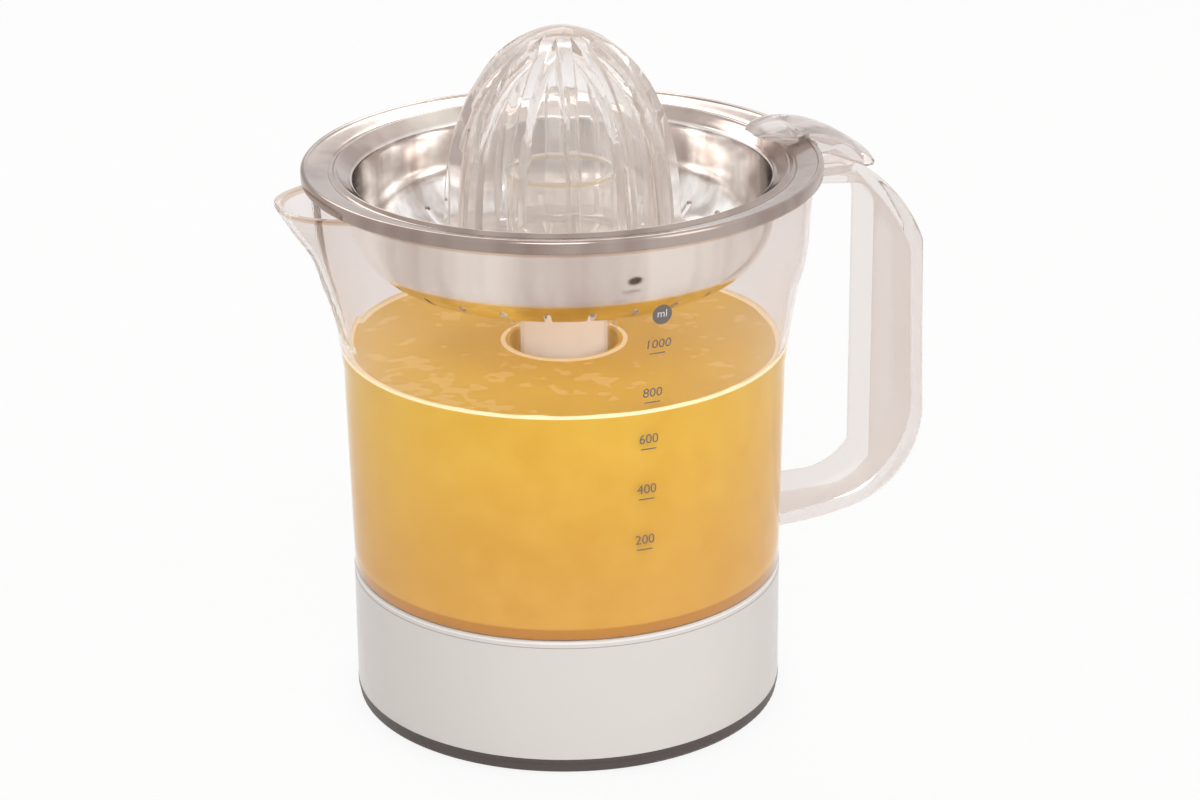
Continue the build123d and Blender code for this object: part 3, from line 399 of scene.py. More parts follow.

# %% [markdown]
# ## Polished steel
# The bowl is drawn from sheet and buffed. A mirror would be one flat metal; what makes steel
# look drawn is that its tone changes in upright streaks, partly where the sheet slid down the die
# and partly as painted reflection, and that a fine grain roughens the gloss. Both are noise, one
# stretched along Z. On the rolled rim a painted reflection makes the near side darker and the far
# side lighter, and painted shade darkens the rim's outer edge, most of all on its far side.

# %% Polished steel
def polished_steel(name, dark, light, roughness, grain_scale, stretch, rim=None, streaks=38):
    """Drawn steel: upright streaks of tone, and a fine grain that roughens and dents the gloss."""
    finish = Finish(name)
    grain = finish.noise(grain_scale, 4.0, stretch)
    # upright streaks of tone: partly the drawn sheet, partly painted reflection
    streak = finish.noise(streaks, 3.0, (1, 1, 0.12))
    tone = finish.ramp(streak, (0.36, dark), (0.62, light))
    if rim:
        start, outer, near_painted_shade, far_painted_light = rim
        x, y, height = (finish.along(axis) for axis in "XYZ")
        # painted reflection: darker on the rim's near side, lighter on its far side
        side = y / (2 * outer) + 0.4 + streak * 0.2
        on_rim = ((height - start) / 0.0006).held()
        tone = finish.tinted(tone, finish.ramp(side, (0.6, near_painted_shade), (0.95, far_painted_light)), on_rim)
        # painted shade on the rim's outer edge, strongest towards the far side
        inner = outer - 1.32 * MM
        painted_edge_shade = ((x * x + y * y - inner * inner) / 0.00008).held() * ((side - 0.35) / 0.3).held()
        tone = finish.tinted(tone, plain(170, 156, 150), painted_edge_shade)
    return finish.surface(finish.add(
        "BsdfPrincipled",
        Base_Color=tone,
        Metallic=1.0,
        Roughness=roughness + grain * 0.06,
        Normal=finish.bump(grain, 0.03, 0.0003)))


# %% Four steels
# the bowl's rim gets a painted reflection, darker on the near side and lighter on the far side
bowl_steel = polished_steel(
    "bowl_steel", plain(206, 194, 188), plain(250, 246, 240), 0.12, 300, (1, 1, 8),
    rim=(rim_height - 0.4 * MM, 80 * MM, plain(180, 168, 164), plain(236, 229, 224)))
# the bowl's inside: a copy of the steel with finer, stronger streaks of painted reflection
bowl_inside = polished_steel(
    "bowl_inside", plain(190, 178, 172), plain(254, 251, 248), 0.12, 300, (1, 1, 8), streaks=85)
screw_steel = polished_steel(
    "screw_steel", plain(172, 172, 172), plain(200, 200, 200), 0.25, 800, (1, 1, 1))
zinc_steel = polished_steel(
    "zinc_steel", plain(150, 153, 158), plain(185, 188, 192), 0.35, 120, (1, 1, 1))
print("steel:", bowl_steel.name, bowl_inside.name, screw_steel.name, zinc_steel.name)

# %% [markdown]
# ## Moulded plastics and rubber
# Housing, cover, gears and switch are all injection moulded. Such a surface is never quite flat
# under its gloss: it has a faint orange peel, and its colour drifts a little. One function
# makes them all, from a colour, a roughness and how coarse the peel is. The glossy housing has
# a clear coat, and painted shade makes it darker towards its sides, as a lit white cylinder looks.

# %% Moulded plastics and rubber
def moulded(name, colour, roughness, coat=0.0, grain_scale=400, grain_depth=0.05,
            glow=0.0, edge=None):
    """Moulded plastic: a faint orange peel under the gloss and a slight colour drift. What is
    thin enough for light to come through gets a painted glow, and an edge tone paints shade on the sides."""
    finish = Finish(name)
    peel = finish.noise(grain_scale, 2.0)
    drift = finish.noise(12, 1.0)
    tone = finish.ramp(drift, (0.25, tuple(c * 0.96 for c in colour)), (0.75, colour))
    if edge:
        # painted shade: the housing darkens towards its sides at glancing angles
        glance = finish.wire(finish.add("LayerWeight", Blend=0.3), "Facing")
        tone = finish.tinted(tone, edge, (glance * glance * 1.4).held())
    return finish.surface(finish.add(
        "BsdfPrincipled",
        Base_Color=tone,
        Roughness=roughness + peel * 0.06,
        Coat_Weight=coat,
        Coat_Roughness=0.06,
        Emission_Color=tone,
        Emission_Strength=glow,
        Normal=finish.bump(peel, grain_depth, 0.0004)))


# %% Their colours
white_shell = moulded(
    "white_shell", plain(230, 225, 221), 0.22, coat=0.4, grain_scale=250, grain_depth=0.03,
    edge=plain(206, 196, 192))
dark_plastic = moulded("dark_plastic", plain(84, 74, 72), 0.42, grain_scale=1500, grain_depth=0.3)
foot_rubber = moulded("foot_rubber", plain(50, 46, 46), 0.7, grain_scale=2500, grain_depth=0.4)
gear_nylon = moulded("gear_nylon", plain(236, 230, 212), 0.4)
switch_black = moulded("switch_black", plain(32, 32, 34), 0.4)
switch_red = moulded("switch_red", plain(170, 40, 34), 0.35)
magnet = moulded("magnet", plain(58, 58, 62), 0.6, grain_scale=900, grain_depth=0.3)
printed_ink = moulded("printed_ink", plain(112, 104, 100), 0.5)
# the froth's glow is painted light
foam = moulded("foam", plain(250, 226, 178), 0.35, grain_scale=500, grain_depth=0.3, glow=0.25)
print("moulded:", white_shell.name, "to", foam.name)

# %% [markdown]
# ## Natural plastic
# The drive parts under the cone are plastic without pigment: white where it is thick, half
# clear where it is thin. Rather than two materials with a seam, one material mixes a white and
# a clear shader by height, and stains the collar's upper edge, where pulp collects.

# %% Natural plastic: white where it is thick, half clear where it is thin
def natural_plastic(name, thin_from, ring_height):
    """The drive parts' plastic: white below, half clear inside the cone, stained at its edge."""
    finish = Finish(name)
    peel = finish.noise(400, 2.0)
    x, y, height = (finish.along(axis) for axis in "XYZ")
    off = (height - ring_height) / 0.0005
    away = ((x * x + y * y - 0.00012) / 0.00006).held()   # keeps the stain off the drive shaft
    ring = (1.6 - off * off).held() * away * 0.8
    tone = finish.ramp(ring, (0.2, plain(244, 239, 234)), (0.8, plain(200, 178, 146)))
    # painted light: the thick white part glows a little, so that it stays bright in the bowl's shade
    thick = finish.add("BsdfPrincipled", Base_Color=tone, Roughness=0.3 + peel * 0.06, Coat_Weight=0.2,
                       Emission_Color=tone, Emission_Strength=0.22,
                       Normal=finish.bump(peel, 0.05, 0.0004))
    thin = finish.add("BsdfPrincipled", Base_Color=tone, Roughness=0.06, IOR=1.1, Transmission_Weight=1.0)
    share = ((height - thin_from) / 0.002).held() * (0.9 - ring * 0.5)
    return finish.surface(finish.blend(share, thick, thin))


white_hub = natural_plastic("white_hub", bowl_level + 1.5 * MM, hub_high.z - 0.7 * MM)
print("natural plastic turns clear at", round(bowl_level + 1.5 * MM, 4))

# %% [markdown]
# ## Copper winding
# The motor's coil is wound with hundreds of turns of thin enamelled wire. Turns that fine are
# not worth modelling: a wave texture in bands gives the stripes, and the same wave feeds the
# bump, so that light and relief agree.

# %% Copper winding: fine turns round the coil
def copper_winding():
    """Enamelled copper: bright on each turn of the wire, dark between two."""
    finish = Finish("copper_coil")
    turns = finish.add("TexWave", {"wave_type": "BANDS", "bands_direction": "Z"},
                       Vector=finish.place(), Scale=700.0, Distortion=0.4)
    turns = finish.wire(turns, 1)
    return finish.surface(finish.add(
        "BsdfPrincipled",
        Base_Color=finish.ramp(turns, (0.1, plain(120, 62, 30)), (0.8, plain(206, 124, 74))),
        Metallic=0.85,
        Roughness=0.32 + turns * 0.1,
        Normal=finish.bump(turns, 0.4, 0.0003)))


copper_coil = copper_winding()
print("wound", copper_coil.name)

# %% [markdown]
# ## Orange juice
# Fresh juice is too cloudy to see through, so an opaque shader does, and it renders far faster
# than a volume would. Two noises, one fine for pulp and one broad for drifting clouds, choose
# between two oranges, and height mixes a lighter, yellower pair near the top with a darker,
# duller one near the floor. A little glow stands for the light that wanders about inside, the
# top glows brighter as painted light under the bowl's shade, and it gets broken streaks of foam.


# %% Orange juice
def orange_juice():
    """Cloudy juice: opaque, lighter where pulp hangs, with foam in broken streaks on top."""
    finish = Finish("orange_juice")
    pulp = finish.noise(90, 5.0)
    cloud = finish.noise(14, 2.0)
    height = finish.along("Z")
    mix = pulp * 0.5 + cloud * 0.5
    # lighter and yellower near the top, darker and duller near the floor
    upper_juice_tones = finish.ramp(mix, (0.35, plain(202, 158, 60)), (0.6, plain(209, 169, 70)))
    lower_juice_tones = finish.ramp(mix, (0.35, plain(192, 144, 70)), (0.6, plain(198, 153, 78)))
    low = deck + 10 * MM
    tone = finish.mixed(((height - low) / (juice_level - low)).held(), lower_juice_tones, upper_juice_tones)
    # an amber line down at the jug's floor
    line = ((deck + 3.6 * MM - height) / 0.0006).held()
    tone = finish.mixed(line, tone, plain(174, 122, 62))
    top = ((height - (juice_level - 0.0003)) / 0.0002).held()
    tone = finish.tinted(tone, plain(255, 252, 214), top)
    bubbles = finish.noise(150, 2.0) * 0.6 + finish.noise(32, 2.0) * 0.4
    patch = ((bubbles - 0.555) / 0.03).held() * top * 0.22
    skin = finish.mixed(patch, tone, plain(252, 228, 180))
    # painted light: the top glows a brighter orange, where the bowl above shades it
    painted_top_glow = finish.mixed(top, skin, plain(255, 206, 110))
    return finish.surface(finish.add(
        "BsdfPrincipled",
        Base_Color=skin,
        Roughness=0.3 + pulp * 0.1,
        Specular_IOR_Level=0.06,
        Emission_Color=painted_top_glow,
        Emission_Strength=0.22,
        Normal=finish.bump(pulp, 0.05, 0.001)))


juice_finish = orange_juice()
print("poured", juice_finish.name)

# %% [markdown]
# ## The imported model's own nodes
# Motor, gears, housing and screws keep the shapes that they were packed with. Their record says
# which material each one is made of, so a loop hands every node its finish; a new node would be
# dressed without a new line here.

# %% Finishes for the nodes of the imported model
finishes = {
    "white_shell": white_shell, "dark_plastic": dark_plastic, "foot_rubber": foot_rubber,
    "screw_steel": screw_steel, "zinc_steel": zinc_steel, "copper_coil": copper_coil,
    "magnet": magnet, "gear_nylon": gear_nylon, "switch_black": switch_black,
    "switch_red": switch_red, "white_hub": white_hub, "clear_jug": clear_jug,
    "clear_cone": clear_cone, "bowl_steel": bowl_steel,
}
for part in frame["record"]["subparts"]:
    node = frame["nodes"][part["node"]]
    node.data.materials.clear()
    node.data.materials.append(finishes[part["material_slot"]])
print("finished", len(frame["nodes"]), "nodes")

# %% [markdown]
# ## The base's top edge
# Where the jug sits down, the housing ends in a fine polished bead with a shadow line under it.
# Two thin lathe rings, half sunk in the housing, make both. A third one, dark, carries the
# bottom cover's colour a little way up the housing's lower edge.

# %% Bead and shadow line
def thin_ring(radius, height, thickness):
    """A ring of round section, turned from ten points."""
    outline = [(radius + thickness * math.cos(a), height + thickness * math.sin(a))
               for a in (2 * math.pi * i / 10 for i in range(10))]
    return lathe(outline, 200)


side = house_high.y                  # the housing's outside
edge_white = moulded("edge_white", plain(250, 247, 245), 0.12, coat=0.6, grain_depth=0.01)
edge_grey = moulded("edge_grey", plain(178, 168, 164), 0.4, grain_depth=0.02)
bead = thin_ring(side - 0.3 * MM, deck - 0.8 * MM, 0.42 * MM)
make_piece("deck_bead", bead, edge_white, "base")
line = thin_ring(side - 0.06 * MM, deck - 2.2 * MM, 0.15 * MM)
make_piece("deck_line", line, edge_grey, "base")


# %% Dark lower edge
def skirt():
    """A square-edged band, just proud of the housing's side."""
    inner, outer = side - 0.6 * MM, side + 0.06 * MM
    low, high = house_low.z - 0.3 * MM, house_low.z + 0.9 * MM
    return lathe([(inner, low), (outer, low), (outer, high), (inner, high)], 200)


make_piece("dark_skirt", skirt(), dark_plastic, "base")

# %% [markdown]
# ## Return spring
# The coil under the spindle's collar is a round wire. A spin that also climbs, a screw, winds it
# from a single circle.

# %% Coil under the collar
def coil_spring(low, high, wire, turns, steps=40, sides=12):
    """Screws a round wire's outline up from low.z to high.z, and closes both ends."""
    mesh = bmesh.new()
    start = Matrix.Translation((high.x - wire / 2, 0, low.z + wire / 2))
    bmesh.ops.create_circle(mesh, segments=sides, radius=wire / 2,
                            matrix=start @ Matrix.Rotation(math.radians(90), 4, "X"))
    climb = (high.z - low.z - wire) / (turns * steps)
    bmesh.ops.spin(mesh, geom=mesh.verts[:] + mesh.edges[:], axis=(0, 0, 1), dvec=(0, 0, climb),
                   angle=math.tau * turns, steps=turns * steps)
    bmesh.ops.holes_fill(mesh, edges=mesh.edges)
    bmesh.ops.recalc_face_normals(mesh, faces=mesh.faces)
    return mesh


spring_low, spring_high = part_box("return_spring")
coil = coil_spring(spring_low, spring_high, 0.85 * MM, 4)
spring = make_piece("coil_spring", coil, screw_steel, "output")
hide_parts("return_spring")

# %% How much of its length the press would leave
spring_length = spring_high.z - spring_low.z
press = next(joint for joint in frame["joints"] if joint["name"] == "spindle_press")
pressed = abs(press["range_m"][0])
1 - pressed / spring_length
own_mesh(spring)
print("spring keeps", round(1 - pressed / spring_length, 2), "of its length")

# %% [markdown]
# ## The jug
# A single clear moulding: side, flared mouth and spout, a floor that steps up over the motor
# dome, and a chimney that keeps the juice off the drive shaft. One outline on the lathe makes
# all of it but the spout, from the outside over the lip to the inside, so the wall has a true
# thickness for light to go through. A spout that was joined on would leave a crease, so it is
# pushed out of the wall instead: every point near it moves out to a leaning circle, with a soft
# maximum, and the two surfaces melt together as they do in a mould.

# %% The jug's wall in profile
def jug_profile(inset, count=14):
    """Points of the jug's side from foot to rim, inset from the outside by a distance."""
    flare_height = rim_height - belly_height
    flare_width = rim_radius - belly_radius
    belly = (belly_radius - inset, belly_height)
    middle = (belly[0] + 0.42 * flare_width, belly[1] + 0.38 * flare_height)
    shoulder = (belly[0] + 0.82 * flare_width, belly[1] + 0.62 * flare_height)
    rim = (rim_radius - inset, rim_height)
    low = [(foot_radius - inset + (belly_radius - foot_radius) * i / 8,
            deck + (belly_height - deck) * i / 8) for i in range(8)]
    return low + flow([belly, middle, shoulder, rim], count)


print("wall outline of", len(jug_profile(0)), "points")


# %% The spout, seen from above
spout_root = 126 * MM                # the height at which the spout begins
spout_radius = 20 * MM               # its roundness at the rim, seen from above

# up the spout: share of its height, of its reach, and of its radius
spout_sizes = [(0, 0, 0.62), (0.33, 0.26, 0.68), (0.60, 0.49, 0.76), (0.80, 0.76, 0.86), (1, 1, 1)]


def spout_edge(angle, height, inset):
    """How far the spout reaches at an angle and height, or nothing where it doesn't."""
    share = (height - spout_root) / (rim_height - spout_root)
    if share < 0:
        return 0
    sizes = flow(spout_sizes, 12)
    above = next((i for i, s in enumerate(sizes) if s[0] >= share), len(sizes) - 1)
    below = max(above - 1, 0)
    span = max(sizes[above][0] - sizes[below][0], 1e-9)
    t = min(max((share - sizes[below][0]) / span, 0), 1)
    reach = sizes[below][1] + (sizes[above][1] - sizes[below][1]) * t
    radius = spout_radius * (sizes[below][2] + (sizes[above][2] - sizes[below][2]) * t)
    centre = belly_radius + reach * (spout_reach - belly_radius) - radius
    radius -= inset
    away = math.pi - abs(angle)
    inside = radius**2 - (centre * math.sin(away))**2
    if inside <= 0 or math.cos(away) < 0:
        return 0
    return centre * math.cos(away) + math.sqrt(inside)


def soft_larger(a, b, blend):
    """The larger of two lengths, rounded over where they cross."""
    h = max(blend - abs(a - b), 0) / blend
    return max(a, b) + h * h * blend / 4


print("spout reaches", round(spout_edge(math.pi, rim_height, 0), 4), "at the rim")


# %% Turn the wall and pull the spout
def jug_outline():
    """The jug's section: up the outside, over the lip, down the inside, over the motor dome's
    trench to the chimney, and back under it all."""
    floor, dome = deck + 2.6 * MM, dome_clearance
    chimney_top, chimney_bore = rim_height - 35.5 * MM, 14.2 * MM
    outside = jug_profile(0)
    inside = jug_profile(wall)
    lip = [(rim_radius - 0.3 * MM, rim_height - 0.1 * MM), (rim_radius - wall / 2, rim_height),
           (rim_radius - wall + 0.3 * MM, rim_height - 0.1 * MM)]
    outside[-1] = (rim_radius, rim_height - 0.6 * MM)
    inside[-1] = (rim_radius - wall, rim_height - 0.6 * MM)
    inside = [p for p in inside if p[1] > floor + 4 * MM]
    start = (foot_radius - wall, floor)
    corner = arc((start[0] + 0.02 * MM, floor + 4 * MM), (start[0] - 1.2 * MM, floor + 1.2 * MM),
                 (start[0] - 4 * MM, floor), 5)
    bore = 45 * MM
    outline = [(foot_radius - 0.4 * MM, deck), (foot_radius, deck + 0.4 * MM)] + outside[1:] + lip
    outline += list(reversed(inside)) + corner + [(start[0] - 4 * MM, floor)]
    outline += [(bore + 4 * MM, floor), (bore + 2.6 * MM, floor + 1.2 * MM)]
    outline += [(bore + 2.3 * MM, dome - 1 * MM), (bore + 1.4 * MM, dome + 2 * MM),
                (bore, dome + 2.6 * MM)]
    outline += [(chimney_core, dome + 2.6 * MM), (17.8 * MM, dome + 3.4 * MM), (17.5 * MM, dome + 5 * MM)]
    outline += [(16.5 * MM, chimney_top - 0.5 * MM), (16.1 * MM, chimney_top), (14.6 * MM, chimney_top)]
    outline += [(chimney_bore, chimney_top - 0.4 * MM), (chimney_bore, dome), (bore - 2 * MM, dome)]
    outline += [(bore, dome - 2 * MM), (bore, deck + 0.5 * MM), (bore + 0.5 * MM, deck)]
    return outline


def jug_body():
    """Turns the section, then pulls the points near the spout out to the spout's edge."""
    mesh = lathe(jug_outline(), 240)
    flare = [p for p in jug_profile(0) if p[1] > 120 * MM]
    for vert in mesh.verts:
        r, angle = math.hypot(vert.co.x, vert.co.y), math.atan2(vert.co.y, vert.co.x)
        if r < 55 * MM or vert.co.z < 120 * MM:
            continue
        upper = next((p for p in flare if p[1] >= vert.co.z), flare[-1])
        inset = min(max(upper[0] - r, 0), wall)
        reach = spout_edge(angle, vert.co.z, inset)
        if reach > 0:
            grown = soft_larger(r, reach, 7 * MM)
            vert.co.x *= grown / r
            vert.co.y *= grown / r
    return mesh


jug_piece = make_piece("jug_moulding", jug_body(), clear_jug, "jug", 50)
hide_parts("jug")

# %% [markdown]
# ## The handle
# A moulded handle is a channel: one outer strap with a cheek down each side, open towards the
# jug, stiff and yet thin enough to cool evenly. It could be swept along a path, but its arms
# change height on the way. So it is made as a mould forms it: a full bar, drawn from the side
# and thickened, less a pocket.


# %% Handle outline
handle_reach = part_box("jug_handle")[1].x - 0.4 * MM
handle_top = rim_height - 6.6 * MM
handle_foot = deck + 1 * MM
grip_inside = 102.7 * MM             # the side of the grip that the fingers close round
arm = 11 * MM                        # height of the lower arm


def handle_outer(inset):
    """The outer edge from the upper root round to the lower one; an inset one starts and ends
    further in or out, so that the pocket it cuts is open at the jug."""
    top, reach, bottom = handle_top - inset, handle_reach - inset, handle_foot + inset
    root = foot_radius + (0.2 * MM if inset == 0 else -8 * MM)
    shoulder = (grip_inside - 6 * MM, top)
    upper = (reach - 1.2 * MM, top - 28 * MM)
    lower = (reach, bottom + 38 * MM)
    heel = (reach - 26 * MM, bottom + 2.4 * MM)
    line = [(root + (8 * MM if inset == 0 else 0), top)]
    line += arc(shoulder, (reach - 9.9 * MM, top - 12.6 * MM), upper, 14)
    line += [upper, ((upper[0] + lower[0]) / 2, (upper[1] + lower[1]) / 2)]
    line += arc(lower, (reach - 6.3 * MM, bottom + 14.2 * MM), heel, 12)
    line += arc(heel, (reach - 40.5 * MM, bottom + 0.3 * MM), (root, bottom), 6)
    return line + [(root, bottom)]


def handle_inner():
    """The inner edge, round the gap for the fingers, from the upper root to the lower one."""
    inner, low, top = grip_inside, handle_foot + arm, handle_top
    root = foot_radius + 0.2 * MM
    shoulder, neck = (inner - 8.7 * MM, top - 6.2 * MM), (inner, top - 15.5 * MM)
    line = [(root + 8 * MM, top - 4.4 * MM), shoulder]
    line += arc(shoulder, (inner - 2.5 * MM, top - 8.9 * MM), neck, 7)[1:]
    line += [neck, (inner, (top + low) / 2)]
    line += arc((inner, low + 8 * MM), (inner - 6.7 * MM, low + 2.2 * MM), (inner - 18 * MM, low), 8)
    return line + [(inner - 18 * MM, low), (root, low)]


print("finger room", round(grip_inside - rim_radius, 4))

# %% [markdown]
# ## Cutting one solid from another
# Handle, bowl slots and tab are easier cut than built: a plain solid, less another one. The
# Boolean modifier does that; its exact solver copes with faces that nearly touch. The cutter is
# thrown away afterwards, and edges are bevelled before the cut, while they are still simple.


# %% Slabs, bevels and cuts
def thicken(points, push):
    """A flat face through the points, extruded along push into a closed slab."""
    mesh = bmesh.new()
    face = mesh.faces.new([mesh.verts.new(point) for point in points])
    grown = bmesh.ops.extrude_face_region(mesh, geom=[face])
    lifted = [g for g in grown["geom"] if isinstance(g, bmesh.types.BMVert)]
    bmesh.ops.translate(mesh, verts=lifted, vec=push)
    bmesh.ops.recalc_face_normals(mesh, faces=mesh.faces)
    return mesh


def side_slab(outline, half_width):
    """A closed outline in the XZ plane, thickened to both sides of it."""
    return thicken([(x, -half_width, z) for x, z in outline], (0, 2 * half_width, 0))


def as_tool(name, mesh):
    """A plain object from a bmesh, not yet a piece."""
    data = bpy.data.meshes.new(name)
    mesh.to_mesh(data)
    mesh.free()
    tool = bpy.data.objects.new(name, data)
    bpy.context.scene.collection.objects.link(tool)
    return tool


def carve(piece, tool):
    """Takes the tool's shape out of a piece and throws the tool away."""
    cut = piece.modifiers.new("cut", "BOOLEAN")
    cut.operation = "DIFFERENCE"
    cut.object = tool
    cut.solver = "EXACT"
    settle(piece)
    bpy.data.objects.remove(tool)


def settle(piece):
    """Applies every modifier of a piece to its mesh."""
    bpy.context.view_layer.update()
    graph = bpy.context.evaluated_depsgraph_get()
    data = bpy.data.meshes.new_from_object(piece.evaluated_get(graph))
    piece.modifiers.clear()
    piece.data = data


def round_edges(mesh, width, segments, sharper_than=50):
    """Bevels the edges that turn by more than an angle."""
    limit = math.radians(sharper_than)
    edges = [e for e in mesh.edges if len(e.link_faces) == 2 and e.calc_face_angle(0) > limit]
    bmesh.ops.bevel(mesh, geom=edges, offset=width, segments=segments, profile=0.5,
                    affect="EDGES", material=-1, clamp_overlap=True)


def hollow_bar(name, bar, pocket, finish, body, smooth_below):
    """A bar less a pocket, finished as a piece on a body."""
    piece = as_tool(name, bar)
    carve(piece, as_tool("pocket", pocket))
    piece.data.materials.append(finish)
    shade(piece, smooth_below)
    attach(piece, body)
    print("made", name, len(piece.data.polygons), "faces on", body)
    return piece


# %% Handle
handle_half, pocket_half = 10 * MM, 7.4 * MM
strap = 3.2 * MM                     # thickness of the outer strap

bar = side_slab(handle_outer(0) + list(reversed(handle_inner())), handle_half)
round_edges(bar, 1.6 * MM, 4)
pocket = side_slab(handle_outer(strap), pocket_half)
round_edges(pocket, 1.0 * MM, 3)
handle = hollow_bar("jug_handle", bar, pocket, clear_handle, "jug", 35)
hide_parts("jug_handle")

# %% [markdown]
# ## The reamer cone
# Twelve fins stand out of an egg-shaped dome and tear the fruit. They could be modelled one by
# one and joined, but then each root would need a fillet. Instead the dome is turned on the
# lathe at the fins' outer size, and the skin between the fins is pushed in: how far a point
# goes in depends on its distance from the nearest fin's plane, so the roots round themselves.

# %% The dome's egg shape
egg_base = cone_low.z - 8 * MM       # where the dome's egg shape would be widest
egg_radius = 36.9 * MM
egg_top, egg_side = 3.3, 1.75        # how blunt the egg is; 2 and 2 would be an ellipse
dome_wall = 7 * MM                   # from the fins' tips to the hollow inside


def dome_radius(height, inset):
    """How wide the dome is at a height; an inset one lies inside it."""
    low, top = egg_base, cone_high.z - inset
    rise = min(max((height - low) / (top - low), 0), 1)
    return (egg_radius - inset) * (1 - rise**egg_top) ** (1 / egg_side)


def dome_line(inset, count):
    """Points up the dome, closer together where it curves most."""
    low, top = cone_low.z, cone_high.z - inset
    shares = [math.sin(math.pi / 2 * i / count) ** 0.8 for i in range(count + 1)]
    return [(dome_radius(low + (top - low) * s, inset), low + (top - low) * s) for s in shares]


print("dome is", round(dome_radius(cone_low.z, 0), 4), "wide at its foot")


# %% Turn the dome with its skirt
skirt_top = cone_low.z + 2 * MM


def plain_dome():
    """The dome with no fins yet: outside, flat skirt, and the hollow underneath."""
    low, reach = cone_low.z, 43 * MM
    outside = [p for p in dome_line(0, 56) if p[1] > skirt_top + 0.5 * MM]
    inside = dome_line(dome_wall, 30)
    outline = [(0, cone_high.z)] + list(reversed(outside[:-1]))
    outline += [(egg_radius + 0.2 * MM, skirt_top), (reach - 0.5 * MM, skirt_top)]
    outline += [(reach, skirt_top - 0.5 * MM), (reach, low + 0.4 * MM), (reach - 0.4 * MM, low)]
    outline += inside[:-1] + [(0, inside[-1][1])]
    return lathe(outline, 360, closed=False)


# %% Push the skin in between the fins
fin_count, fin_phase = 12, math.radians(15)


def reamer():
    """The dome with its outer skin pushed in wherever no fin stands."""
    mesh = plain_dome()
    depth, half_tip, taper, edge = 4.8 * MM, 1.3 * MM, 0.03, 1.1 * MM
    pitch = 2 * math.pi / fin_count
    for vert in mesh.verts:
        r = math.hypot(vert.co.x, vert.co.y)
        if r < 0.2 * MM or vert.co.z < skirt_top - 0.01 * MM or r > 38 * MM:
            continue
        if abs(r - dome_radius(vert.co.z, 0)) > abs(r - dome_radius(vert.co.z, dome_wall)):
            continue
        angle = math.atan2(vert.co.y, vert.co.x) - fin_phase
        off = abs((angle + pitch / 2) % pitch - pitch / 2) * r
        half = half_tip + taper * (egg_radius - r)
        sink = smoothstep(half, half + edge, off) * depth
        # low down the skin goes inwards, near the top it goes down
        normal = Vector((vert.co.x / r, vert.co.y / r, 0.0))
        steep = smoothstep(150 * MM, 216 * MM, vert.co.z)
        direction = (normal * (1 - 0.75 * steep) + Vector((0, 0, 1)) * 0.9 * steep).normalized()
        vert.co -= direction * sink * smoothstep(0, 12 * MM, r)
    return mesh


cone = make_piece("reamer_cone", reamer(), clear_cone, "cone", 60)
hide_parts("cone")

# %% [markdown]
# ## The strainer bowl
# One sheet of steel, drawn into a bowl, pierced with slots, and rolled over at its rim. The
# sheet could be a single surface with a Solidify modifier, but the rolled rim is thicker than
# the sheet, so the outline goes up one side and down the other. A rounded edge, a sloping band
# and a narrow ridge give the rim its three bright lines, and the slots are cut out afterwards,
# so that their edges stay crisp.

# %% Bowl
rim_top, rim_reach = rim_high.z + 0.7 * MM, rim_high.y
sheet = 0.9 * MM


def bowl_outline():
    """Up the inside of the bowl, over the rolled rim, and down the outside."""
    wall_r, floor_r, hole = 65 * MM, 49 * MM, 17.4 * MM
    floor, turn = bowl_level, bowl_level + 21 * MM
    bend_out = (wall_r - 4.8 * MM, floor + 6.3 * MM)
    bend_in = (bend_out[0] - 0.7 * sheet, bend_out[1] + 0.7 * sheet)
    outline = [(hole, floor), (hole, floor + sheet), (30 * MM, floor + sheet)]
    outline += arc((floor_r - 0.3 * MM, floor + sheet), bend_in, (wall_r - sheet, turn), 14)
    outline += flow([(wall_r - sheet, turn), (wall_r - sheet, rim_top - 5.6 * MM),
                     (65.1 * MM, rim_top - 4.0 * MM), (67.0 * MM, rim_top - 2.7 * MM),
                     (68.5 * MM, rim_top - 1.7 * MM), (69.4 * MM, rim_top - 1.0 * MM),
                     (70.4 * MM, rim_top - 1.9 * MM), (71.3 * MM, rim_top - 2.1 * MM),
                     (72.4 * MM, rim_top - 1.5 * MM), (77.6 * MM, rim_top - 0.7 * MM),
                     (78.3 * MM, rim_top - 0.1 * MM), (rim_reach - 1.1 * MM, rim_top)], 5)
    outline += arc((rim_reach - 1.1 * MM, rim_top), (rim_reach - 0.3 * MM, rim_top - 0.35 * MM),
                   (rim_reach, rim_top - 1.2 * MM), 6)
    outline += arc((rim_reach, rim_height + 0.9 * MM), (rim_reach - 0.22 * MM, rim_height + 0.28 * MM),
                   (rim_reach - 0.85 * MM, rim_height + 0.05 * MM), 5)
    outline += [(74.1 * MM, rim_height + 0.05 * MM), (71.3 * MM, rim_top - 3.0 * MM),
                (69.0 * MM, rim_top - 2.6 * MM)]
    outline += flow([(66.8 * MM, rim_top - 4.0 * MM), (wall_r + 0.3 * MM, rim_top - 5.6 * MM),
                     (wall_r, rim_top - 7.4 * MM), (wall_r, turn)], 3)[:-1]
    outline += arc((wall_r, turn), bend_out, (floor_r, floor), 14)
    return outline + [(floor_r, floor), (30 * MM, floor)]


bowl = make_piece("steel_bowl", lathe(bowl_outline(), 256), bowl_steel, "strainer", 38)
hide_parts("strainer_bowl")


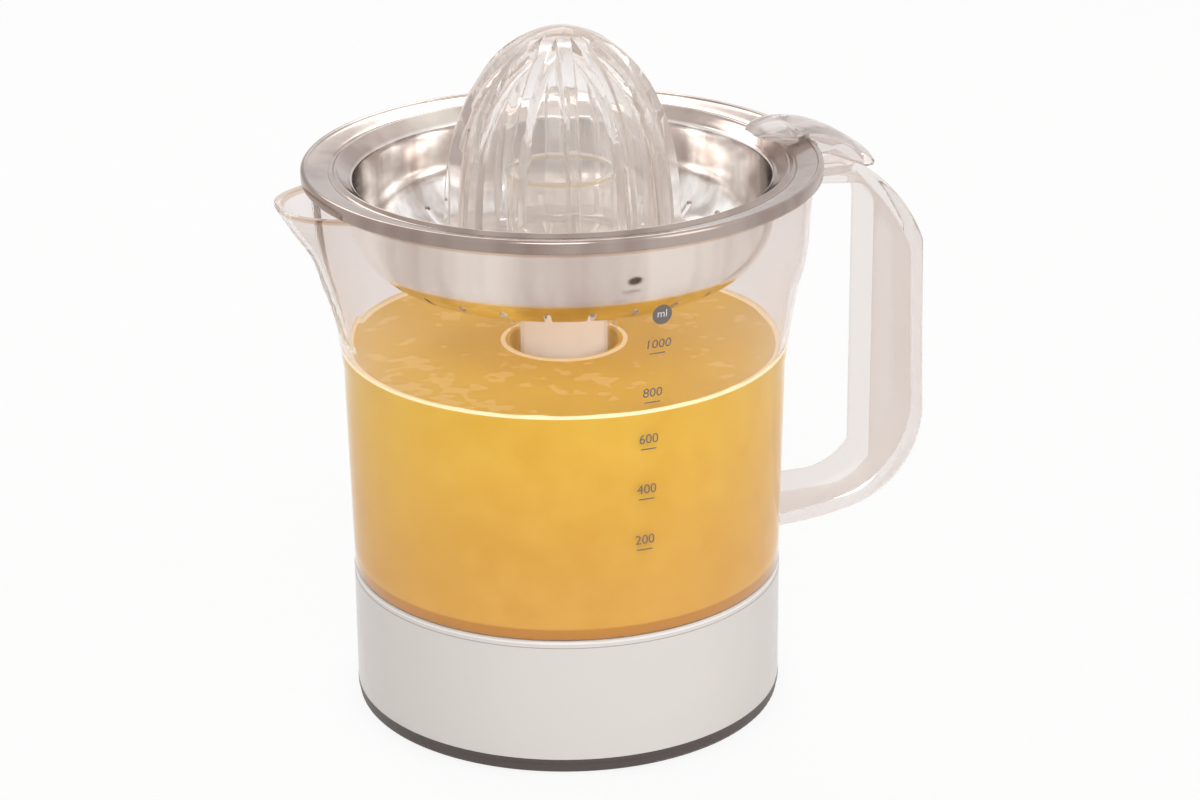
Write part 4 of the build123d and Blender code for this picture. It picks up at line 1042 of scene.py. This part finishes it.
# %% Cut the strainer slots
def slot_cutter(count, inner, outer, width):
    """Round-ended bars, one for each slot, standing through the floor."""
    half = width / 2
    turns = [math.radians(d) for d in range(-90, 91, 30)]
    ends = [(outer - half + half * math.cos(a), half * math.sin(a)) for a in turns]
    ends += [(inner + half - half * math.cos(a), -half * math.sin(a)) for a in turns]
    mesh = thicken([(x, y, bowl_level - 3 * MM) for x, y in ends], (0, 0, 10 * MM))
    bmesh.ops.spin(mesh, geom=mesh.verts[:] + mesh.edges[:] + mesh.faces[:], cent=(0, 0, 0),
                   axis=(0, 0, 1), angle=2 * math.pi * (count - 1) / count, steps=count - 1,
                   use_duplicate=True)
    return mesh


slots = slot_cutter(count=28, inner=26 * MM, outer=60 * MM, width=2.2 * MM)
carve(bowl, as_tool("slots", slots))
shade(bowl, 38)
print("slots cut, faces", len(bowl.data.polygons))


# %% A livelier finish for the bowl's inside, with stronger painted reflection streaks
def faces_inward(face):
    """True for a face that looks at the axis or up, below the rim."""
    across = face.normal.x * face.center.x + face.normal.y * face.center.y
    inward = across < -0.3 * math.hypot(face.center.x, face.center.y)
    return (inward or face.normal.z > 0.6) and face.center.z < rim_top - 5 * MM


bowl.data.materials.append(bowl_inside)
for face in bowl.data.polygons:
    face.material_index = 1 if faces_inward(face) else 0
print("faces on the inside:", sum(face.material_index for face in bowl.data.polygons))

# %% [markdown]
# ## The thumb tab
# A clear tongue that arches over the rim, to lift the bowl by. It is made as the handle is: an
# outline thickened into a bar, with a hollow taken out from below, so that a cheek stays on
# each side. What a slab can't give is the way the back falls off towards its sides and the tip
# narrows, so the slab is first cut into strips, and their points are moved.

# %% Tab outlines
tab_half, hollow_half = 12 * MM, 9.8 * MM


def tab_outline():
    """The tab from the side: over the top from tip to end, and back along its underside."""
    tip, crest, end = tab_low.x, tab_high.z - 1.2 * MM, tab_high.x - 4.5 * MM
    top = flow([(tip, crest - 3.5 * MM), (tip + 3.6 * MM, crest - 1.4 * MM), (tip + 10.6 * MM, crest),
                (tip + 19.5 * MM, crest - 1.3 * MM), (tip + 27.5 * MM, crest - 4.6 * MM),
                (tip + 34.5 * MM, crest - 9.0 * MM), (end, crest - 11.3 * MM)], 6)
    under = [(end - 0.3 * MM, crest - 12.6 * MM), (end - 3 * MM, crest - 12.9 * MM)]
    under += [(rim_reach + 5 * MM, rim_height - 0.9 * MM), (rim_reach + 0.6 * MM, rim_height - 0.6 * MM)]
    under += [(rim_reach + 0.6 * MM, rim_top + 0.3 * MM), (tip + 8 * MM, rim_top + 0.3 * MM),
              (tip + 3 * MM, crest - 4.2 * MM)]
    return top + under


def tab_hollow():
    """What is taken out from below, between the cheeks."""
    tip, crest, end = tab_low.x, tab_high.z - 1.2 * MM, tab_high.x - 4.5 * MM
    top = flow([(rim_reach - 5 * MM, crest - 3.6 * MM), (tip + 19.5 * MM, crest - 3.9 * MM),
                (tip + 27.5 * MM, crest - 7.0 * MM), (end - 3 * MM, crest - 12.4 * MM)], 6)
    return top + [(end - 3 * MM, crest - 24 * MM), (rim_reach - 5 * MM, crest - 24 * MM)]


print("tab's outline of", len(tab_outline()), "points")


# %% Tab
def crown(mesh, fall):
    """Rounds the tab's back: the further a point is from the middle, the lower it sits."""
    for vert in mesh.verts:
        share = smoothstep(rim_top - 3 * MM, rim_top + 2 * MM, vert.co.z)
        share = max(share, smoothstep(rim_reach + 4 * MM, rim_reach + 8 * MM, vert.co.x))
        vert.co.z -= fall * share * (vert.co.y / tab_half) ** 2


def tab_bar():
    """The solid tongue: a slab, cut into strips across so that it can narrow and crown."""
    bar = side_slab(tab_outline(), tab_half)
    across = [e for e in bar.edges if abs(e.verts[0].co.y - e.verts[1].co.y) > 20 * MM]
    bmesh.ops.subdivide_edges(bar, edges=across, cuts=9, use_grid_fill=True)
    for vert in bar.verts:
        nose = smoothstep(tab_low.x - 1 * MM, tab_low.x + 14 * MM, vert.co.x)
        vert.co.y *= 0.25 + 0.75 * nose**0.5
    crown(bar, 2.6 * MM)
    round_edges(bar, 0.7 * MM, 3, 60)
    return bar


tab = hollow_bar("thumb_tab", tab_bar(), side_slab(tab_hollow(), hollow_half),
                 clear_tab, "strainer", 40)
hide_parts("strainer_tab")

# %% [markdown]
# ## The juice
# It is what the jug holds and not a piece of it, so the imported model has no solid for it; here
# it rides on the jug, and goes along when the jug is lifted. It reaches a little way into the
# wall, because a film of air between liquid and plastic would show as a silvery skin.

# %% Juice
def juice():
    """The jug's inside up to the juice's level, round the motor dome and the chimney."""
    floor, dome = deck + 0.1 * MM, dome_clearance
    outer = [p for p in jug_profile(wall - 0.5 * MM) if floor + 0.6 * MM < p[1] < juice_level]
    outline = [(17.2 * MM, juice_level), (outer[-1][0], juice_level)] + list(reversed(outer))
    outline += [(foot_radius - 1.0 * MM, floor), (48.4 * MM, floor), (47.0 * MM, floor + 1.5 * MM)]
    outline += [(46.8 * MM, dome + 1.5 * MM), (45.6 * MM, dome + 2.3 * MM), (18 * MM, dome + 2.3 * MM)]
    return lathe(outline, 180)


make_piece("juice", juice(), juice_finish, "jug", 40)

# %% [markdown]
# ## Froth
# Where juice meets a wall it creeps up and holds bubbles. A thin ring does for each wall, with
# its top edge lifted unevenly by noise so that it doesn't look turned.


# %% Froth
def foam_ring(inner, outer, rise):
    """A thin raised ring of froth where the juice creeps up a wall."""
    low = juice_level - 0.4 * MM
    outline = [(inner, low), (outer, low), (outer, juice_level + rise[1]),
               ((inner + outer) / 2, juice_level + 0.25 * MM), (inner, juice_level + rise[0])]
    mesh = lathe(outline, 180)
    for vert in mesh.verts:
        wave = noise.noise(vert.co * 120)
        vert.co.z += max(vert.co.z - juice_level, 0) * 0.5 * wave
    return mesh


froth = foam_ring(18.4 * MM, 19.8 * MM, (0.4 * MM, 0.2 * MM))
make_piece("inner_froth", froth, foam, "jug")
shore = next(r for r, z in jug_profile(wall - 0.4 * MM) if z > juice_level)
froth = foam_ring(shore - 1.9 * MM, shore, (0.1 * MM, 0.9 * MM))
make_piece("outer_froth", froth, foam, "jug")

# %% [markdown]
# ## The printed scale
# The millilitre marks are pad-printed on the jug: plain numbers with a short rule under each.
# An image would need a picture file, so they are real type instead. A font curve is made a
# mesh and bent round the wall, each point turned about the axis by its distance along the line
# and set just outside the wall's radius at its own height.

# %% Wrap flat artwork on the jug
scale_angle = math.radians(-90)
heights = {"1000": 138.8, "800": 122.6, "600": 107.3, "400": 91.2, "200": 74.8}


def wall_radius(height):
    """The jug's outside radius at a height."""
    line = jug_profile(0)
    above = next(i for i, p in enumerate(line) if p[1] >= height)
    (r0, z0), (r1, z1) = line[above - 1], line[above]
    return r0 + (r1 - r0) * (height - z0) / max(z1 - z0, 1e-9)


def wrap(mesh, height, lift):
    """Bends artwork in the XY plane on to the jug at a height; the column leans a little."""
    for vert in mesh.verts:
        z = height + vert.co.y
        r = wall_radius(z) + lift + vert.co.z
        turn = scale_angle + (height / MM - 108) * math.radians(0.027) + vert.co.x / r
        vert.co = Vector((r * math.cos(turn), r * math.sin(turn), z))


print("the wall at 800 ml is", round(wall_radius(heights["800"] * MM), 4), "from the axis")


# %% Type and rules
def lettering(text, size):
    """Text as a thin mesh, centred on the origin."""
    curve = bpy.data.curves.new("print", "FONT")
    curve.body = text
    curve.size = size
    curve.align_x = "CENTER"
    curve.align_y = "BOTTOM"
    curve.extrude = 0.02 * MM
    holder = bpy.data.objects.new("print", curve)
    data = bpy.data.meshes.new_from_object(holder)
    mesh = bmesh.new()
    mesh.from_mesh(data)
    bpy.data.objects.remove(holder)
    bmesh.ops.remove_doubles(mesh, verts=mesh.verts, dist=1e-6)
    return mesh


def flat_bar(width, height):
    """A thin bar, cut into short lengths so that it can bend."""
    mesh = bmesh.new()
    bmesh.ops.create_cube(mesh, size=1)
    bmesh.ops.scale(mesh, verts=mesh.verts, vec=(width, height, 0.04 * MM))
    along = [e for e in mesh.edges if abs(e.verts[0].co.x - e.verts[1].co.x) > width / 2]
    bmesh.ops.subdivide_edges(mesh, edges=along, cuts=4)
    return mesh


for number, height in heights.items():
    digits = lettering(number, 4.2 * MM)
    wrap(digits, (height - 0.2) * MM, 0.08 * MM)
    make_piece("scale_" + number, digits, printed_ink, "jug")
    rule = flat_bar(5 * MM, 0.35 * MM)
    wrap(rule, (height - 1.2) * MM, 0.08 * MM)
    make_piece("rule_" + number, rule, printed_ink, "jug")

# %% The unit in its disc
disc = bmesh.new()
bmesh.ops.create_cone(disc, cap_ends=True, segments=40, radius1=3.1 * MM, radius2=3.1 * MM, depth=0.05 * MM)
wrap(disc, 150.4 * MM, 0.06 * MM)
make_piece("unit_disc", disc, printed_ink, "jug")
unit = lettering("ml", 3.4 * MM)
wrap(unit, 149.0 * MM, 0.13 * MM)
make_piece("unit_mark", unit, white_shell, "jug")

# %% [markdown]
# ## Studio floor
# The object stands on white, with no horizon, but should keep a soft shadow. The floor is
# therefore two things at once: near-white paper, which takes shadows, mixed with plain white
# light for the eye, for mirrors and for what clear plastic shows behind it.

# %% Floor
def studio_floor():
    """Paper that takes the shadow, under white that only the eye sees."""
    finish = Finish("floor")
    paper = finish.noise(40, 2.0)
    tone = finish.ramp(paper, (0.3, (0.92, 0.92, 0.92)), (0.7, (0.96, 0.96, 0.96)))
    lit = finish.add("BsdfPrincipled", Base_Color=tone, Roughness=0.8)
    white = finish.add("Emission", Color=(1, 1, 1, 1), Strength=1.0)
    path = finish.add("LightPath")
    seen = finish.wire(path, "Is Camera Ray").larger(finish.wire(path, "Is Glossy Ray"))
    seen = seen.larger(finish.wire(path, "Is Transmission Ray"))
    return finish.surface(finish.blend(seen * 0.88, lit, white))


floor_mesh = bmesh.new()
bmesh.ops.create_grid(floor_mesh, x_segments=1, y_segments=1, size=3)
floor = as_tool("studio_floor", floor_mesh)
floor.data.materials.append(studio_floor())
print("floor laid")

# %% [markdown]
# ## Surround
# Clear and polished things show their surroundings more than themselves. What the eye, mirrors
# and clear plastic see is pure white; what lights the matt surfaces is softer, warmer and
# dimmer at the sides, which draws the round shapes.


# %% Surround
def surround():
    """White to the eye, to metal and to clear plastic; for everything else a softer warm white,
    dimmer at the sides."""
    world = bpy.data.worlds.new("studio")
    bpy.context.scene.world = world
    sky = Finish("studio", world)
    path = sky.add("LightPath")
    seen = sky.wire(path, "Is Camera Ray").larger(sky.wire(path, "Is Glossy Ray"))
    seen = seen.larger(sky.wire(path, "Is Transmission Ray"))
    front = sky.add("Background", Color=(1.0, 0.985, 0.97, 1), Strength=0.7)
    sides = sky.add("Background", Color=(1.0, 0.96, 0.94, 1), Strength=0.3)
    backdrop = sky.add("Background", Color=(1, 1, 1, 1), Strength=1.0)
    direction = sky.wire(sky.add("TexCoord"), "Generated")
    across = sky.wire(sky.add("SeparateXYZ", Vector=direction), "X")
    sky.surface(sky.blend(seen, sky.blend(across * across, front, sides), backdrop))


surround()
print("surround hung")

# %% [markdown]
# ## Lamps
# Three large, soft lamps, as for a catalogue picture: a key from the front left for the shape,
# a fill from the right to open the shadows, and one from behind that lights up the edges.


# %% Lamps
def lamp(name, place, aim, size, watts):
    """A flat lamp at a place, turned to face a point."""
    data = bpy.data.lights.new(name, "AREA")
    data.shape = "RECTANGLE"
    data.size, data.size_y = size
    data.energy = watts
    light = bpy.data.objects.new(name, data)
    light.location = place
    light.rotation_euler = (Vector(aim) - Vector(place)).to_track_quat("-Z", "Y").to_euler()
    bpy.context.scene.collection.objects.link(light)


lamp("key", (-0.45, -0.95, 1.05), (0, 0, 0.1), (0.6, 0.6), 5)
lamp("fill", (0.6, -0.9, 0.6), (0, 0, 0.1), (0.5, 0.9), 2)
lamp("back", (0.1, 0.9, 0.9), (0, 0, 0.15), (0.9, 0.4), 3)
print("lamps lit")

# %% [markdown]
# ## Camera
# A long lens from about a metre keeps the jug's sides upright. It stands a little to the left
# of the front, so that the handle shows, and looks down by 21 degrees, so that the bowl opens.

# %% Camera
turn, dip, distance = math.radians(-21), math.radians(21.2), 1.083
target = Vector((0, 0, 0.097))
back = Vector((math.sin(turn) * math.cos(dip), -math.cos(turn) * math.cos(dip), math.sin(dip)))
lens = bpy.data.cameras.new("camera")
lens.sensor_width = 36
lens.lens = 103.4
lens.shift_x = 35.1 / 1200
camera = bpy.data.objects.new("camera", lens)
aim = (-back).to_track_quat("-Z", "Y").to_matrix().to_4x4()
roll = Matrix.Rotation(math.radians(-0.7), 4, "Z")
camera.matrix_world = Matrix.Translation(target + back * distance) @ aim @ roll
bpy.context.scene.collection.objects.link(camera)
bpy.context.scene.camera = camera
bpy.context.scene.view_settings.view_transform = "Standard"
print("camera at", [round(v, 3) for v in target + back * distance])
